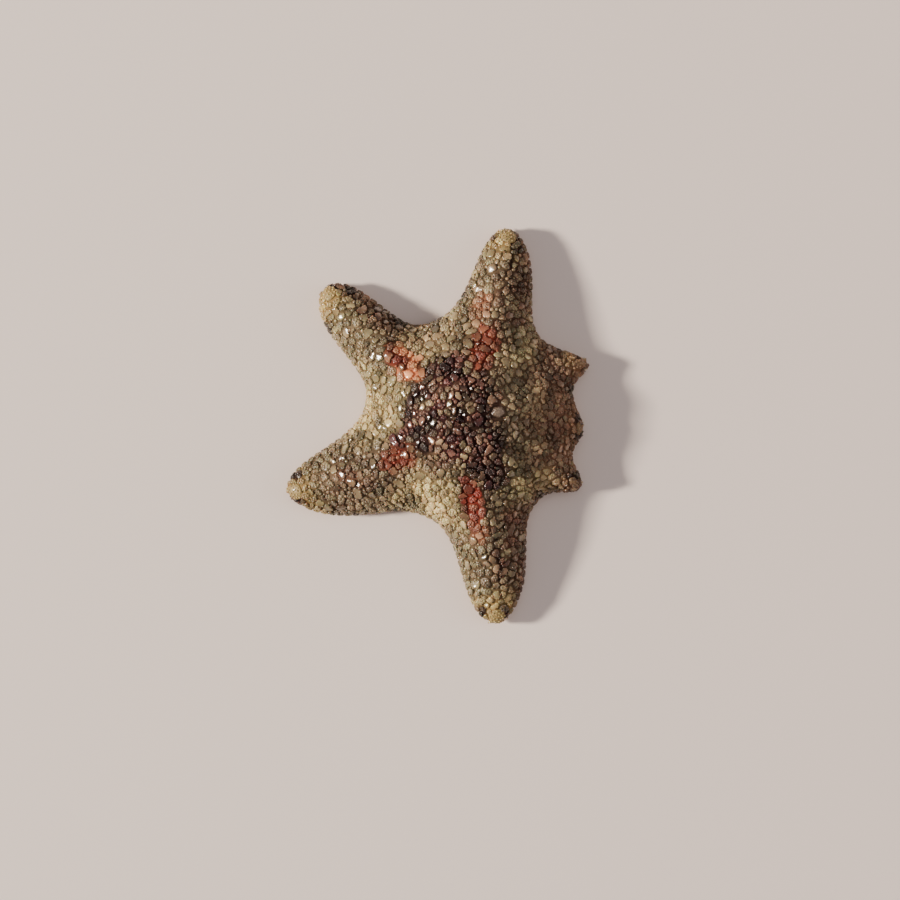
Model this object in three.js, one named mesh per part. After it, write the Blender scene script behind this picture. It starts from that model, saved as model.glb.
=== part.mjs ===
// A small cushion star (family Asterinidae) at life size, lying mouth down on a level floor.
// Four rays are full grown and three are growing back on the +X side, as after a split.
//
// Millimetres and degrees, +Z up, +Y along the longest reach. The origin is under the middle
// of the star's bounding box, on the floor.
//
// The body is one closed form, described by two height fields over the plan: the domed upper
// face and the flat underside with its furrows. It is parted by thin cuts into the disc, the
// seven rays and the plate at the tip of each ray.

import * as THREE from "three";

// ---- Driving sizes -------------------------------------------------------------------------

const DISC_REACH = 2.74; // from the centre to the rim between rays, on average
const DISC_SWAY = 0.38; // how much further the disc reaches towards +X than towards +Y
const DISC_DOME = 2.08; // rise of the middle of the disc above the rim
const TIP_DOME = 0.5; // rise of a ray's ridge above the rim, carried to the tip
const DOME_POWER = 0.6; // roundness from rim to ridge: 0.5 is a half circle
const RIDGE_POWER = 1.6; // section of a ray: 1 is a sharp roof, 2 a round back
const WEB_POWER = 2.2; // the lower, the wider the web between two rays
const ROOT_SINK = 1.2; // how deep the rays' ridges are sunk in the dome at the centre
const ROOT_END = 3.0; // distance from the centre at which a ridge stands fully clear

const RIM_TOP = 0.42; // height of the rim's upper edge
const RIM_UNDERCUT = 0.14; // height of the rim's lower edge
const FLAT_SHARE = 0.35; // part of the way to the rim where the underside lies on the floor
const TIP_LIFT = 0.14; // how far a tip curls up
const TIP_LIFT_START = 0.78; // where the curl starts, as a share of the ray's length

const FURROW_HALF = 0.23; // half the width, at the mouth, of the furrow under a grown ray
const SMALL_FURROW_HALF = 0.13; // the same under a ray that is growing back
const FURROW_TAPER = 0.35; // share of that width lost on the way to the tip
const FURROW_DEPTH = 0.42;
const FURROW_END_DEPTH = 0.16; // depth left at the tip
const FURROW_SHARE = 0.5; // most of a half sector that a furrow takes, close to the mouth
const FURROW_ROOF = 0.6; // half width of the furrow's roof, as a share of its own half width

const DISC_CUT = 2.35; // radius of the cut between the disc and the rays
const TIP_PLATE = 0.36; // length of the plate at a grown ray's tip
const TIP_PLATE_SHARE = 0.6; // most of a short ray's free length that its plate takes
const ROOT_LENGTH = 0.35; // least length of a ray's root, from the cut to level with its webs
const NECK_LENGTH = 0.1; // least length from there to the tip plate
const WEB_EASE = 1.5; // how soon past the webs a ray's sections turn square to it
const CUT_GAP = 0.03; // width of every cut

const MOUTH_RIM = 0.52; // radius of the mouth recess at the floor
const MOUTH_ROOF = 0.45; // radius of its roof
const MOUTH_DEPTH = 0.52;
const LIP_RADIUS = 0.37; // the soft ring round the mouth
const LIP_HOLE = 0.1;
const LIP_BROW = 0.18; // radius at which the ring starts to narrow towards its hole
const LIP_BOTTOM = 0.14;
const LIP_TOP = 0.44;
const LIP_ROUND = 0.04; // how much its edges are rounded off

const SIEVE_RADIUS = 0.21; // the madreporite, a round sieve plate on the disc
const SIEVE_DISTANCE = 1.14;
const SIEVE_WEB = 6; // it lies in line with the web before this ray, counted from 0
const SIEVE_PROUD = 0.08; // how far its rim stands above the disc
const SIEVE_CROWN = 0.05; // rise from there to its middle
const SIEVE_CROWN_SHARE = 0.6; // radius of the crown, as a share of the plate's

// Rays, anticlockwise from the first grown one. heading is the middle line's direction at the
// centre and bend how far it has turned at the tip. rootHalf and endHalf are half widths at the
// centre and at the tip. The higher bluntness is, the squarer the tip.
const RAYS = [
  { grown: true, heading: 69.0, bend: 5.9, length: 5.5, rootHalf: 1.2, endHalf: 0.74, bluntness: 11 },
  { grown: true, heading: 137.3, bend: -1.8, length: 5.23, rootHalf: 0.95, endHalf: 0.77, bluntness: 11 },
  { grown: true, heading: 213.7, bend: -10.5, length: 5.15, rootHalf: 1.53, endHalf: 0.95, bluntness: 7.4 },
  { grown: true, heading: 287.0, bend: -6.1, length: 5.76, rootHalf: 0.97, endHalf: 0.95, bluntness: 7.6 },
  { grown: false, heading: 333.1, bend: -1.7, length: 3.82, rootHalf: 0.5, endHalf: 0.39, bluntness: 10 },
  { grown: false, heading: 357.6, bend: -1.8, length: 3.34, rootHalf: 0.4, endHalf: 0.51, bluntness: 10 },
  { grown: false, heading: 396.4, bend: -12.1, length: 3.8, rootHalf: 0.76, endHalf: 0.51, bluntness: 5 },
];

// ---- Fineness of the solids ----------------------------------------------------------------

// Columns of a section: back holds shares of the way from ridge to rim, and sole shares of the
// way from furrow to rim on the underside.
const FINE = { back: [0, 0.2, 0.42, 0.62, 0.8, 0.93, 1], sole: [0.33, 0.66, 1] };
const PLAIN = { back: [0, 0.35, 0.65, 0.88, 1], sole: [0.5, 1] };
const ROOT_SECTIONS = 3; // sections from the disc's cut to the web
const GROWN_SECTIONS = 15; // sections from the web to the tip plate
const SMALL_SECTIONS = 5;
const PLATE_SECTIONS = [0, 0.3, 0.55, 0.74, 0.88]; // shares of the rim round the tip
const DISC_RINGS = [1, 0.86, 0.71, 0.56, 0.42, 0.28, 0.14]; // shares of DISC_CUT, upper face
const SOLE_RINGS = [1, 0.82, 0.64, 0.48, 0.34]; // shares of DISC_CUT, underside
const SIEVE_COLUMNS = 14;
const LIP_SEGMENTS = 18;
const RIM_SAMPLES = 400; // points of the rim from a web to a tip
const WEB_SAMPLES = 240; // directions tried between two rays for the web
const SEARCH_STEP = 0.05;
const SEARCH_ROUNDS = 30;

// ---- The form of the star ------------------------------------------------------------------

const { degToRad, lerp, clamp } = THREE.MathUtils;

function polar(distance, angle) {
  return new THREE.Vector2(distance * Math.cos(angle), distance * Math.sin(angle));
}

/** Brings an angle into the half turn on either side of zero. */
function wrap(angle) {
  return Math.atan2(Math.sin(angle), Math.cos(angle));
}

/** Direction of a ray's middle line at a distance from the centre. */
function headingAt(ray, distance) {
  const along = distance / ray.length;
  return degToRad(ray.heading + ray.bend * along * along);
}

/**
 * The blended form at a point of the plan. edge is 0 on a ridge and 1 on the rim, dome is the
 * rise above the rim that a ridge has there, and lift is how far the tip's curl raises it.
 */
function formAt(point) {
  const distance = point.length();
  const angle = Math.atan2(point.y, point.x);
  const discReach = DISC_REACH + DISC_SWAY * Math.cos(angle);
  const forms = [{ edge: (distance / discReach) ** 2, dome: DISC_DOME, lift: 0 }];
  for (const ray of RAYS) {
    const along = distance / ray.length;
    const turn = Math.abs(wrap(angle - headingAt(ray, distance)));
    const across = distance * Math.min(turn, Math.PI / 2);
    const half = lerp(ray.rootHalf, ray.endHalf, Math.min(along, 1));
    const sink = Math.max(0, 1 - distance / ROOT_END);
    const curl = Math.max(0, (along - TIP_LIFT_START) / (1 - TIP_LIFT_START));
    forms.push({
      edge: (across / half) ** RIDGE_POWER + along ** ray.bluntness + ROOT_SINK * sink * sink,
      dome: lerp(DISC_DOME, TIP_DOME, Math.min(along, 1)),
      lift: TIP_LIFT * Math.min(curl * curl, 1),
    });
  }
  const nearest = 1e-5;
  const blend = { edge: 0, dome: 0, lift: 0 };
  let total = 0;
  for (const form of forms) {
    const weight = Math.max(form.edge, nearest) ** -WEB_POWER;
    total += weight;
    blend.dome += weight * form.dome;
    blend.lift += weight * form.lift;
  }
  blend.edge = total ** (-1 / WEB_POWER);
  blend.dome /= total;
  blend.lift /= total;
  return blend;
}

/** Height of the upper face over a point of the plan. */
function upperHeight(point) {
  const form = formAt(point);
  return RIM_TOP + form.lift + form.dome * Math.max(0, 1 - form.edge) ** DOME_POWER;
}

/** Height of the underside beside the furrows. */
function soleHeight(point) {
  const form = formAt(point);
  const rise = clamp((form.edge - FLAT_SHARE) / (1 - FLAT_SHARE), 0, 1);
  return form.lift + RIM_UNDERCUT * rise * rise;
}

/** Distance at which a line from the centre crosses the rim. angleAt gives its direction. */
function reachAlong(angleAt) {
  const outside = (distance) => formAt(polar(distance, angleAt(distance))).edge > 1;
  let far = DISC_CUT;
  while (!outside(far)) far += SEARCH_STEP;
  let near = far - SEARCH_STEP;
  for (let round = 0; round < SEARCH_ROUNDS; round += 1) {
    const middle = (near + far) / 2;
    if (outside(middle)) far = middle;
    else near = middle;
  }
  return (near + far) / 2;
}

/** The point of the rim in a direction from the centre. */
function rimPoint(angle) {
  return polar(reachAlong(() => angle), angle);
}

/** The point of the rim nearest the centre between two rays. */
function findWeb(before, after) {
  const from = degToRad(before.heading + before.bend);
  const span = wrap(degToRad(after.heading + after.bend) - from);
  let nearest = null;
  for (let step = 1; step < WEB_SAMPLES; step += 1) {
    const angle = from + (span * step) / WEB_SAMPLES;
    const point = rimPoint(angle);
    if (!nearest || point.length() < nearest.point.length()) nearest = { angle, point };
  }
  return nearest;
}

const webs = RAYS.map((ray, index) => findWeb(RAYS.at(index - 1), ray));

// ---- Lofted solids -------------------------------------------------------------------------

/** Collects shared vertices and triangles for one closed body. */
class Body {
  constructor() {
    this.positions = [];
    this.index = [];
  }

  add(point, height) {
    this.positions.push(point.x, point.y, height);
    return this.positions.length / 3 - 1;
  }

  triangle(a, b, c) {
    this.index.push(a, b, c);
  }

  /** Fills a flat or gently curved outline. places are [across, height] pairs seen from outside. */
  fill(corners, places, facesOut) {
    const contour = places.map(([across, height]) => new THREE.Vector2(across, height));
    for (const [a, b, c] of THREE.ShapeUtils.triangulateShape(contour, [])) {
      const turnsLeft = THREE.ShapeUtils.area([contour[a], contour[b], contour[c]]) > 0;
      if (turnsLeft === facesOut) this.triangle(corners[a], corners[b], corners[c]);
      else this.triangle(corners[a], corners[c], corners[b]);
    }
  }

  geometry() {
    const geometry = new THREE.BufferGeometry();
    geometry.setAttribute("position", new THREE.Float32BufferAttribute(this.positions, 3));
    geometry.setIndex(this.index);
    geometry.computeVertexNormals();
    return geometry;
  }
}

/** Half width of the furrow where the half sector is as wide as room. */
function furrowHalf(ray, distance, room) {
  const widest = ray.grown ? FURROW_HALF : SMALL_FURROW_HALF;
  const taper = 1 - FURROW_TAPER * Math.min(distance / ray.length, 1);
  return Math.min(widest * taper, FURROW_SHARE * room);
}

function furrowDepth(ray, distance) {
  return lerp(FURROW_DEPTH, FURROW_END_DEPTH, Math.min(distance / ray.length, 1) ** 2);
}

/**
 * Columns of the underside on one side of a ray, from the furrow's roof to the rim, as
 * [share of the way to the rim, rise into the furrow].
 */
function soleColumns(ray, distance, room, outer) {
  const half = furrowHalf(ray, distance, room) / room;
  const columns = [
    [FURROW_ROOF * half, furrowDepth(ray, distance)],
    [half, 0],
  ];
  for (const share of outer) columns.push([lerp(half, 1, share), 0]);
  return columns;
}

/**
 * One section across a ray: a closed loop of points, over the back from the clockwise side and
 * home under the sole. placeAt gives the plan point a share of the way to either rim.
 */
function raySection(ray, distance, placeAt, { back: shares, sole: outer }) {
  const room = [-1, 1].map((side) => placeAt(0).distanceTo(placeAt(side)));
  const section = [];
  const clockwise = shares.slice(1).reverse().map((share) => -share);
  for (const share of [...clockwise, ...shares]) {
    const point = placeAt(share);
    const across = share * room[share < 0 ? 0 : 1];
    section.push({ point, height: upperHeight(point), across });
  }
  const sole = [];
  for (const [side, width] of [[-1, room[0]], [1, room[1]]]) {
    const columns = soleColumns(ray, distance, width, outer);
    for (const [share, rise] of side < 0 ? columns.reverse() : columns) {
      const point = placeAt(side * share);
      sole.push({ point, height: soleHeight(point) + rise, across: side * share * width });
    }
  }
  return section.concat(sole.reverse());
}

/** Joins sections from the centre outwards and closes both ends. */
function loft(sections) {
  const body = new Body();
  const loops = sections.map((section) => section.map(({ point, height }) => body.add(point, height)));
  for (let level = 1; level < loops.length; level += 1) {
    const [inner, outer] = [loops[level - 1], loops[level]];
    inner.forEach((corner, place) => {
      const next = (place + 1) % inner.length;
      body.triangle(corner, outer[place], outer[next]);
      body.triangle(corner, outer[next], inner[next]);
    });
  }
  const places = (section) => section.map(({ across, height }) => [across, height]);
  body.fill(loops[0], places(sections[0]), false);
  body.fill(loops.at(-1), places(sections.at(-1)), true);
  return body.geometry();
}

/** A path through points that can be walked by shares of its length. */
function makePath(points) {
  const marks = [0];
  for (let step = 1; step < points.length; step += 1) {
    marks.push(marks[step - 1] + points[step].distanceTo(points[step - 1]));
  }
  const length = marks.at(-1);
  const at = (share) => {
    const goal = clamp(share, 0, 1) * length;
    const next = Math.max(1, marks.findIndex((mark) => mark >= goal));
    const part = (goal - marks[next - 1]) / (marks[next] - marks[next - 1]);
    return points[next - 1].clone().lerp(points[next], part);
  };
  return { length, at };
}

/** How far along a ray's middle line a point of the plan lies. */
function axialDistance(ray, point) {
  const distance = point.length();
  return distance * Math.cos(Math.atan2(point.y, point.x) - headingAt(ray, distance));
}

/** The rim from a web to a ray's tip, split where the tip plate starts. */
function makeRim(ray, web, tipAngle, plateStart, inset) {
  const from = web.angle + inset / web.point.length();
  const span = wrap(tipAngle - from);
  const points = [];
  for (let step = 0; step <= RIM_SAMPLES; step += 1) {
    points.push(rimPoint(from + (span * step) / RIM_SAMPLES));
  }
  const split = points.findIndex((point) => axialDistance(ray, point) >= plateStart);
  return { flank: makePath(points.slice(0, split + 1)), tip: makePath(points.slice(split)) };
}

/** Everything that the solids of one ray are drawn along. */
function rayGuides(ray, index) {
  const around = [webs[index], webs[(index + 1) % webs.length]];
  const tipDistance = reachAlong((distance) => headingAt(ray, distance));
  const webLevel = (axialDistance(ray, around[0].point) + axialDistance(ray, around[1].point)) / 2;
  const plate = Math.min(TIP_PLATE, TIP_PLATE_SHARE * (tipDistance - webLevel));
  const plateStart = tipDistance - plate;
  const tipAngle = headingAt(ray, tipDistance);
  const insets = [CUT_GAP / 2, -CUT_GAP / 2];
  const rims = around.map((web, side) => makeRim(ray, web, tipAngle, plateStart, insets[side]));
  return { ray, around, insets, rims, webLevel, plateStart };
}

/** Plan points of a section whose arms run straight from the middle line to both rims. */
function straightArms(ray, distance, ends) {
  const middle = polar(distance, headingAt(ray, distance));
  return (share) => middle.clone().lerp(ends[share < 0 ? 0 : 1], Math.abs(share));
}

/** A ray from the disc's cut to its tip plate. */
function makeRay({ ray, around, insets, rims, webLevel, plateStart }) {
  const start = DISC_CUT + CUT_GAP;
  const webStart = clamp(webLevel, start + ROOT_LENGTH, plateStart - NECK_LENGTH);
  const columns = ray.grown ? FINE : PLAIN;
  const sections = [];
  for (let step = 0; step < ROOT_SECTIONS; step += 1) {
    const part = step / ROOT_SECTIONS;
    const distance = lerp(start, webStart, part);
    const heading = headingAt(ray, start);
    const sides = around.map((web, side) => {
      const reach = lerp(start, rims[side].flank.at(0).length(), part);
      return polar(reach, web.angle + insets[side] / reach);
    });
    const straight = straightArms(ray, distance, sides);
    const turns = around.map((web, side) => wrap(web.angle + insets[side] / start - heading));
    const placeAt = (share) => {
      const turn = Math.abs(share) * turns[share < 0 ? 0 : 1];
      return polar(start, heading + turn).lerp(straight(share), part);
    };
    sections.push(raySection(ray, distance, placeAt, columns));
  }
  const steps = ray.grown ? GROWN_SECTIONS : SMALL_SECTIONS;
  for (let step = 0; step <= steps; step += 1) {
    const part = step / steps;
    const ends = rims.map((rim) => rim.flank.at(part));
    const level = (axialDistance(ray, ends[0]) + axialDistance(ray, ends[1])) / 2;
    const distance = level + (webStart - webLevel) * (1 - part) ** WEB_EASE;
    sections.push(raySection(ray, distance, straightArms(ray, distance, ends), columns));
  }
  return loft(sections);
}

/** The terminal plate at the tip of a ray. */
function makeTipPlate({ ray, rims, plateStart }) {
  const sections = PLATE_SECTIONS.map((part) => {
    const ends = rims.map((rim) => rim.tip.at(lerp(CUT_GAP / rim.tip.length, 1, part)));
    const level = (axialDistance(ray, ends[0]) + axialDistance(ray, ends[1])) / 2;
    const distance = Math.max(level, plateStart + CUT_GAP);
    return raySection(ray, distance, straightArms(ray, distance, ends), PLAIN);
  });
  return loft(sections);
}

/** Columns of the disc's rings: one direction each, with the ray and rise that belong to it. */
function discColumns(distance, shareLists) {
  const columns = [];
  RAYS.forEach((ray, index) => {
    const heading = headingAt(ray, distance);
    const turns = [webs[index], webs[(index + 1) % webs.length]].map((web) => wrap(web.angle - heading));
    for (const side of [-1, 1]) {
      const turn = turns[side < 0 ? 0 : 1];
      const list = shareLists(ray, Math.abs(turn) * distance);
      for (const [share, rise] of side < 0 ? [...list].reverse() : list) {
        const angle = heading + share * turn;
        columns.push({ angle, rise, sector: index, across: side * share * Math.abs(turn) * distance });
      }
    }
    columns.pop(); // the next ray starts with the same direction
  });
  return columns;
}

function backColumns(distance) {
  const columns = discColumns(distance, (ray) => {
    return (ray.grown ? FINE : PLAIN).back.map((share) => [share, 0]);
  });
  // The ridge's column was made once from either side.
  return columns.filter(({ across }, place) => across !== 0 || columns[place - 1].across !== 0);
}

function undersideColumns(distance) {
  return discColumns(distance, (ray, room) => {
    return soleColumns(ray, distance, room, (ray.grown ? FINE : PLAIN).sole);
  });
}

/** Puts a ring of columns into a body, at the heights that heightAt gives over the plan. */
function addRing(body, columns, distance, heightAt) {
  return columns.map((column) => {
    const point = polar(distance, column.angle);
    const height = heightAt(point) + column.rise;
    return { ...column, height, corner: body.add(point, height) };
  });
}

/** Joins two rings of equal count. faceUp tells which side of the surface is outside. */
function joinRings(body, outer, inner, faceUp) {
  outer.forEach(({ corner }, place) => {
    const next = (place + 1) % outer.length;
    const quad = [inner[place].corner, corner, outer[next].corner, inner[next].corner];
    if (!faceUp) quad.reverse();
    body.triangle(quad[0], quad[1], quad[2]);
    body.triangle(quad[0], quad[2], quad[3]);
  });
}

/** Joins a run of rings from the outermost in, and closes the last one with a middle point. */
function closeRings(body, rings, centre, faceUp) {
  for (let ring = 1; ring < rings.length; ring += 1) {
    joinRings(body, rings[ring - 1], rings[ring], faceUp);
  }
  const last = rings.at(-1);
  last.forEach(({ corner }, place) => {
    const next = last[(place + 1) % last.length].corner;
    if (faceUp) body.triangle(corner, next, centre);
    else body.triangle(next, corner, centre);
  });
}

/** The columns of one sector of a ring, ended by the first column of the next sector. */
function sectorRun(ring, index) {
  const after = (index + 1) % RAYS.length;
  const turn = wrap(webs[after].angle - headingAt(RAYS[index], DISC_CUT));
  const last = { ...ring.find(({ sector }) => sector === after), across: turn * DISC_CUT };
  return [...ring.filter(({ sector }) => sector === index), last];
}

/** The wall between the disc's upper face and its underside, one sector at a time. */
function addWall(body, over, under) {
  RAYS.forEach((ray, index) => {
    const loop = [...sectorRun(over, index), ...sectorRun(under, index).reverse()];
    const corners = loop.map(({ corner }) => corner);
    body.fill(corners, loop.map(({ across, height }) => [across, height]), true);
  });
}

/** The disc, with the mouth's recess in the middle of its underside. */
function makeDisc() {
  const body = new Body();
  const back = backColumns(DISC_CUT);
  const backRings = DISC_RINGS.map((share) => addRing(body, back, share * DISC_CUT, upperHeight));
  closeRings(body, backRings, body.add(polar(0, 0), upperHeight(polar(0, 0))), true);

  const soleRings = SOLE_RINGS.map((share) => {
    return addRing(body, undersideColumns(share * DISC_CUT), share * DISC_CUT, soleHeight);
  });
  const jaws = undersideColumns(MOUTH_RIM);
  const roof = jaws.map((column) => ({ ...column, rise: 0 }));
  soleRings.push(addRing(body, jaws, MOUTH_RIM, () => 0));
  soleRings.push(addRing(body, roof, MOUTH_ROOF, () => MOUTH_DEPTH));
  closeRings(body, soleRings, body.add(polar(0, 0), MOUTH_DEPTH), false);

  addWall(body, backRings[0], soleRings[0]);
  return body.geometry();
}

/** The soft ring that closes the mouth, inside its recess. */
function makeMouth() {
  const middle = (LIP_BOTTOM + LIP_TOP) / 2;
  const profile = [
    [LIP_HOLE, middle],
    [LIP_BROW, LIP_BOTTOM + LIP_ROUND],
    [LIP_RADIUS - LIP_ROUND, LIP_BOTTOM],
    [LIP_RADIUS, middle],
    [LIP_RADIUS - LIP_ROUND, LIP_TOP],
    [LIP_BROW, LIP_TOP - LIP_ROUND],
    [LIP_HOLE, middle],
  ];
  const points = profile.map(([radius, height]) => new THREE.Vector2(radius, height));
  return new THREE.LatheGeometry(points, LIP_SEGMENTS).rotateX(Math.PI / 2);
}

/** The madreporite: a low round button that follows the disc under it. */
function makeSieve() {
  const body = new Body();
  const middle = polar(SIEVE_DISTANCE, webs[SIEVE_WEB].angle);
  const ringAt = (radius, proud) => {
    return Array.from({ length: SIEVE_COLUMNS }, (_, step) => {
      const point = polar(radius, (2 * Math.PI * step) / SIEVE_COLUMNS).add(middle);
      return { corner: body.add(point, upperHeight(point) + proud) };
    });
  };
  const foot = ringAt(SIEVE_RADIUS, CUT_GAP);
  const rim = ringAt(SIEVE_RADIUS, SIEVE_PROUD);
  const crown = ringAt(SIEVE_RADIUS * SIEVE_CROWN_SHARE, SIEVE_PROUD + SIEVE_CROWN);
  const top = body.add(middle, upperHeight(middle) + SIEVE_PROUD + SIEVE_CROWN);
  const base = body.add(middle, upperHeight(middle) + CUT_GAP);
  closeRings(body, [foot, rim, crown], top, true);
  closeRings(body, [foot], base, false);
  return body.geometry();
}

// ---- The model -----------------------------------------------------------------------------

function makeMaterial(color, roughness) {
  return new THREE.MeshStandardMaterial({ color, roughness, metalness: 0 });
}

const star = new THREE.Group();

function addPart(name, geometry, color, roughness) {
  const mesh = new THREE.Mesh(geometry, makeMaterial(color, roughness));
  mesh.name = name;
  star.add(mesh);
}

addPart("disc", makeDisc(), 0x4c2e24, 0.5);
addPart("mouth", makeMouth(), 0xc9a58c, 0.4);
addPart("madreporite", makeSieve(), 0x9d8f74, 0.6);
RAYS.forEach((ray, index) => {
  const guides = rayGuides(ray, index);
  addPart(`ray_${index + 1}`, makeRay(guides), ray.grown ? 0x84634c : 0x745644, 0.5);
  addPart(`terminal_plate_${index + 1}`, makeTipPlate(guides), 0xc0a47a, 0.45);
});

const box = new THREE.Box3().setFromObject(star);
const centre = box.getCenter(new THREE.Vector3());
star.position.set(-centre.x, -centre.y, -box.min.z);
star.updateMatrixWorld(true);

export default star;
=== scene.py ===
"""A small cushion star at life size, lying mouth down on a pale floor.

The solids give the form: a domed disc, four grown rays and three short ones growing back. Here
one skin follows that form, a little inside it, and carries the coat: a close mosaic of domed
plates with granules on the back, marginal plates with a fringe, and plates, furrows, tube feet
and jaws underneath. Shapes are worked out in millimetres from the disc's centre, and become
metres of the frame when a mesh is made.
"""

import math
from collections import namedtuple

import bpy
import numpy as np
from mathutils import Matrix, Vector
from mathutils.bvhtree import BVHTree
from mathutils.geometry import delaunay_2d_cdt
from mathutils.kdtree import KDTree
from mathutils.noise import noise


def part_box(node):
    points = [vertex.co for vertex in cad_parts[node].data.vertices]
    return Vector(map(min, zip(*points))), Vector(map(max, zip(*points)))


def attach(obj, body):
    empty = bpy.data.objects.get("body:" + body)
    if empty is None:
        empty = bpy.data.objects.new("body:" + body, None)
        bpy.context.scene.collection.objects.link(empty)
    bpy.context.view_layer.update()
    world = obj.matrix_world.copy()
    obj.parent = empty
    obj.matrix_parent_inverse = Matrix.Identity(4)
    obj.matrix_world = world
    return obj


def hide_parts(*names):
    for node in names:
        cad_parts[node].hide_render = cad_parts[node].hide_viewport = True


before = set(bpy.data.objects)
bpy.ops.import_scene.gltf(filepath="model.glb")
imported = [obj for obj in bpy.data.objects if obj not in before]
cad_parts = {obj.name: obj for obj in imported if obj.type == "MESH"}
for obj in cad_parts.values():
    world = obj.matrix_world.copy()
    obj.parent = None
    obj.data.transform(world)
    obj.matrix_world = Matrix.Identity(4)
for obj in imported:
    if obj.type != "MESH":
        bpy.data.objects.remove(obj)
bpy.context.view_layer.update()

MM = 0.001
RNG = np.random.default_rng(7)

# ---- Driving sizes of the body, the same as in the solids -----------------------------------

DISC_REACH = 2.74  # from the centre to the rim between rays, on average
DISC_SWAY = 0.38  # how much further the disc reaches towards +X than towards +Y
DISC_DOME = 2.08  # rise of the middle of the disc above the rim
TIP_DOME = 0.5  # rise of a ray's ridge above the rim, carried to the tip
DOME_POWER = 0.6  # roundness from rim to ridge: 0.5 is a half circle
RIDGE_POWER = 1.6  # section of a ray: 1 is a sharp roof, 2 a round back
WEB_POWER = 2.2  # the lower, the wider the web between two rays
ROOT_SINK = 1.2  # how deep the ridges are sunk in the dome at the centre
ROOT_END = 3.0  # distance from the centre at which a ridge stands fully clear
RIM_TOP = 0.42  # height of the rim's upper edge
RIM_UNDERCUT = 0.14  # height of its lower edge
FLAT_SHARE = 0.35  # part of the way to the rim where the underside lies on the floor
TIP_LIFT = 0.14  # how far a tip curls up
TIP_LIFT_START = 0.78  # where that starts, as a share of the ray's length
FURROW_HALF = 0.23  # half the width of a furrow at the mouth, under a grown ray
SMALL_FURROW_HALF = 0.13  # the same under a short ray
FURROW_TAPER = 0.35  # share of that width lost on the way to the tip
FURROW_DEPTH = 0.42
FURROW_END_DEPTH = 0.16  # left at the tip
FURROW_SHARE = 0.5  # most of a half sector that a furrow takes, close to the mouth
FURROW_ROOF = 0.6  # half width of the furrow's roof, as a share of its own half width
DISC_CUT = 2.35  # radius of the cut between the disc and the rays
TIP_PLATE = 0.36  # length of the plate at a grown ray's tip
TIP_PLATE_SHARE = 0.6  # most of a short ray's free length that its plate takes
MOUTH_RIM = 0.52  # radius of the mouth's recess at the floor
MOUTH_ROOF = 0.45  # radius of its roof
MOUTH_DEPTH = 0.52
SIEVE_RADIUS = 0.21  # of the madreporite, a round sieve plate on the disc
SIEVE_DISTANCE = 1.14
SIEVE_WEB = 6  # it lies in line with the web before this ray, counted from 0

Ray = namedtuple("Ray", "grown heading bend length root_half end_half bluntness")
RAYS = [  # heading at the centre and bend at the tip are in degrees; bluntness squares the tip
    Ray(True, 69.0, 5.9, 5.5, 1.2, 0.74, 11),
    Ray(True, 137.3, -1.8, 5.23, 0.95, 0.77, 11),
    Ray(True, 213.7, -10.5, 5.15, 1.53, 0.95, 7.4),
    Ray(True, 287.0, -6.1, 5.76, 0.97, 0.95, 7.6),
    Ray(False, 333.1, -1.7, 3.82, 0.5, 0.39, 10),
    Ray(False, 357.6, -1.8, 3.34, 0.4, 0.51, 10),
    Ray(False, 396.4, -12.1, 3.8, 0.76, 0.51, 5),
]

# ---- Sizes of the coat ----------------------------------------------------------------------

COAT = 0.082  # depth of the coat, from the skin to the tops of the granules
PLATE_RISE = 0.048  # of a plate's crown above the skin
PLATE_PITCH = 0.262  # from plate to plate along a ray
ROW_PITCH = 0.242  # from row to row across it
CENTRE_PITCH = 0.218  # between the irregular plates in the middle of the disc
CENTRE_REACH = 1.3
PALE_SHARE = 0.2  # of the plates in the maroon middle: hardly tinted by it
PLATE_GAP = 0.037  # skin that shows between two plates
PLATE_CORNER = 9  # the higher, the sharper the corners of a plate
SMALL_RAY_PITCH = 0.8  # of the pitch elsewhere: the plates of the regrowing rays are finer
GRANULES = 10  # on a plate of the back
GRANULE_WIDTH = 0.3  # half of it, as a share of a plate's reach
BARE_SHARE = 0.4  # of the plates of the back: flat, glossy and tilted, with few granules
BARE_RISE = 0.052
BARE_GRANULES = 5
GLINT_SHARE = 0.22  # of those: turned to mirror the key light upwards; twice in the middle
GLINT_REACH = 0.115  # a plate that mirrors the light is no wider than this
KEY_AZIMUTH, KEY_ELEVATION = 180, 31  # of the key light; azimuth 0 is towards +X
GILL_REACH = 0.027  # half the width of the soft gills between the plates
GILL_LENGTHS = (0.04, 0.062)
GILL_BAY = 0.25  # a plate's bay that is deeper than this share of its reach holds a gill
FILLER_CLEAR = 0.036  # a gap with at least this radius holds a small round plate
FILLER_REACH = 0.075  # the most that it has
MARGIN_PITCH = 0.225  # from plate to plate round the rim
FRINGE_RISE = 0.04
FRINGE_GRANULES = 6
FRINGE_SPINES = 7  # on each plate of the fringe, spread over FRINGE_SPREAD to each side
FRINGE_SPREAD = 0.088
FRINGE_STAGGER = 0.012  # every other spine is lower by this
UNDER_PITCH = 0.21
UNDER_RISE = 0.045
UNDER_GRANULES = 7
UNDER_SPINES = 3  # at most
UNDER_PIECES = [(0, 1), (2, 3), (4, 5, 6)]  # the rays whose sectors share a piece
BANK_PITCH, SMALL_BANK_PITCH = 0.2, 0.165  # along a furrow, under grown and short rays
BANK_OFFSET = 0.105  # from a furrow's edge to the middle of a plate of its bank
BANK_RISE = 0.05
COMB_SPINES = 4
JAW_RADIUS = 0.64  # from the mouth's middle to the plates of the jaws
JAW_OFFSET = 0.062  # half the distance between the two plates of a jaw
JAW_RISE = 0.065
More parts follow.
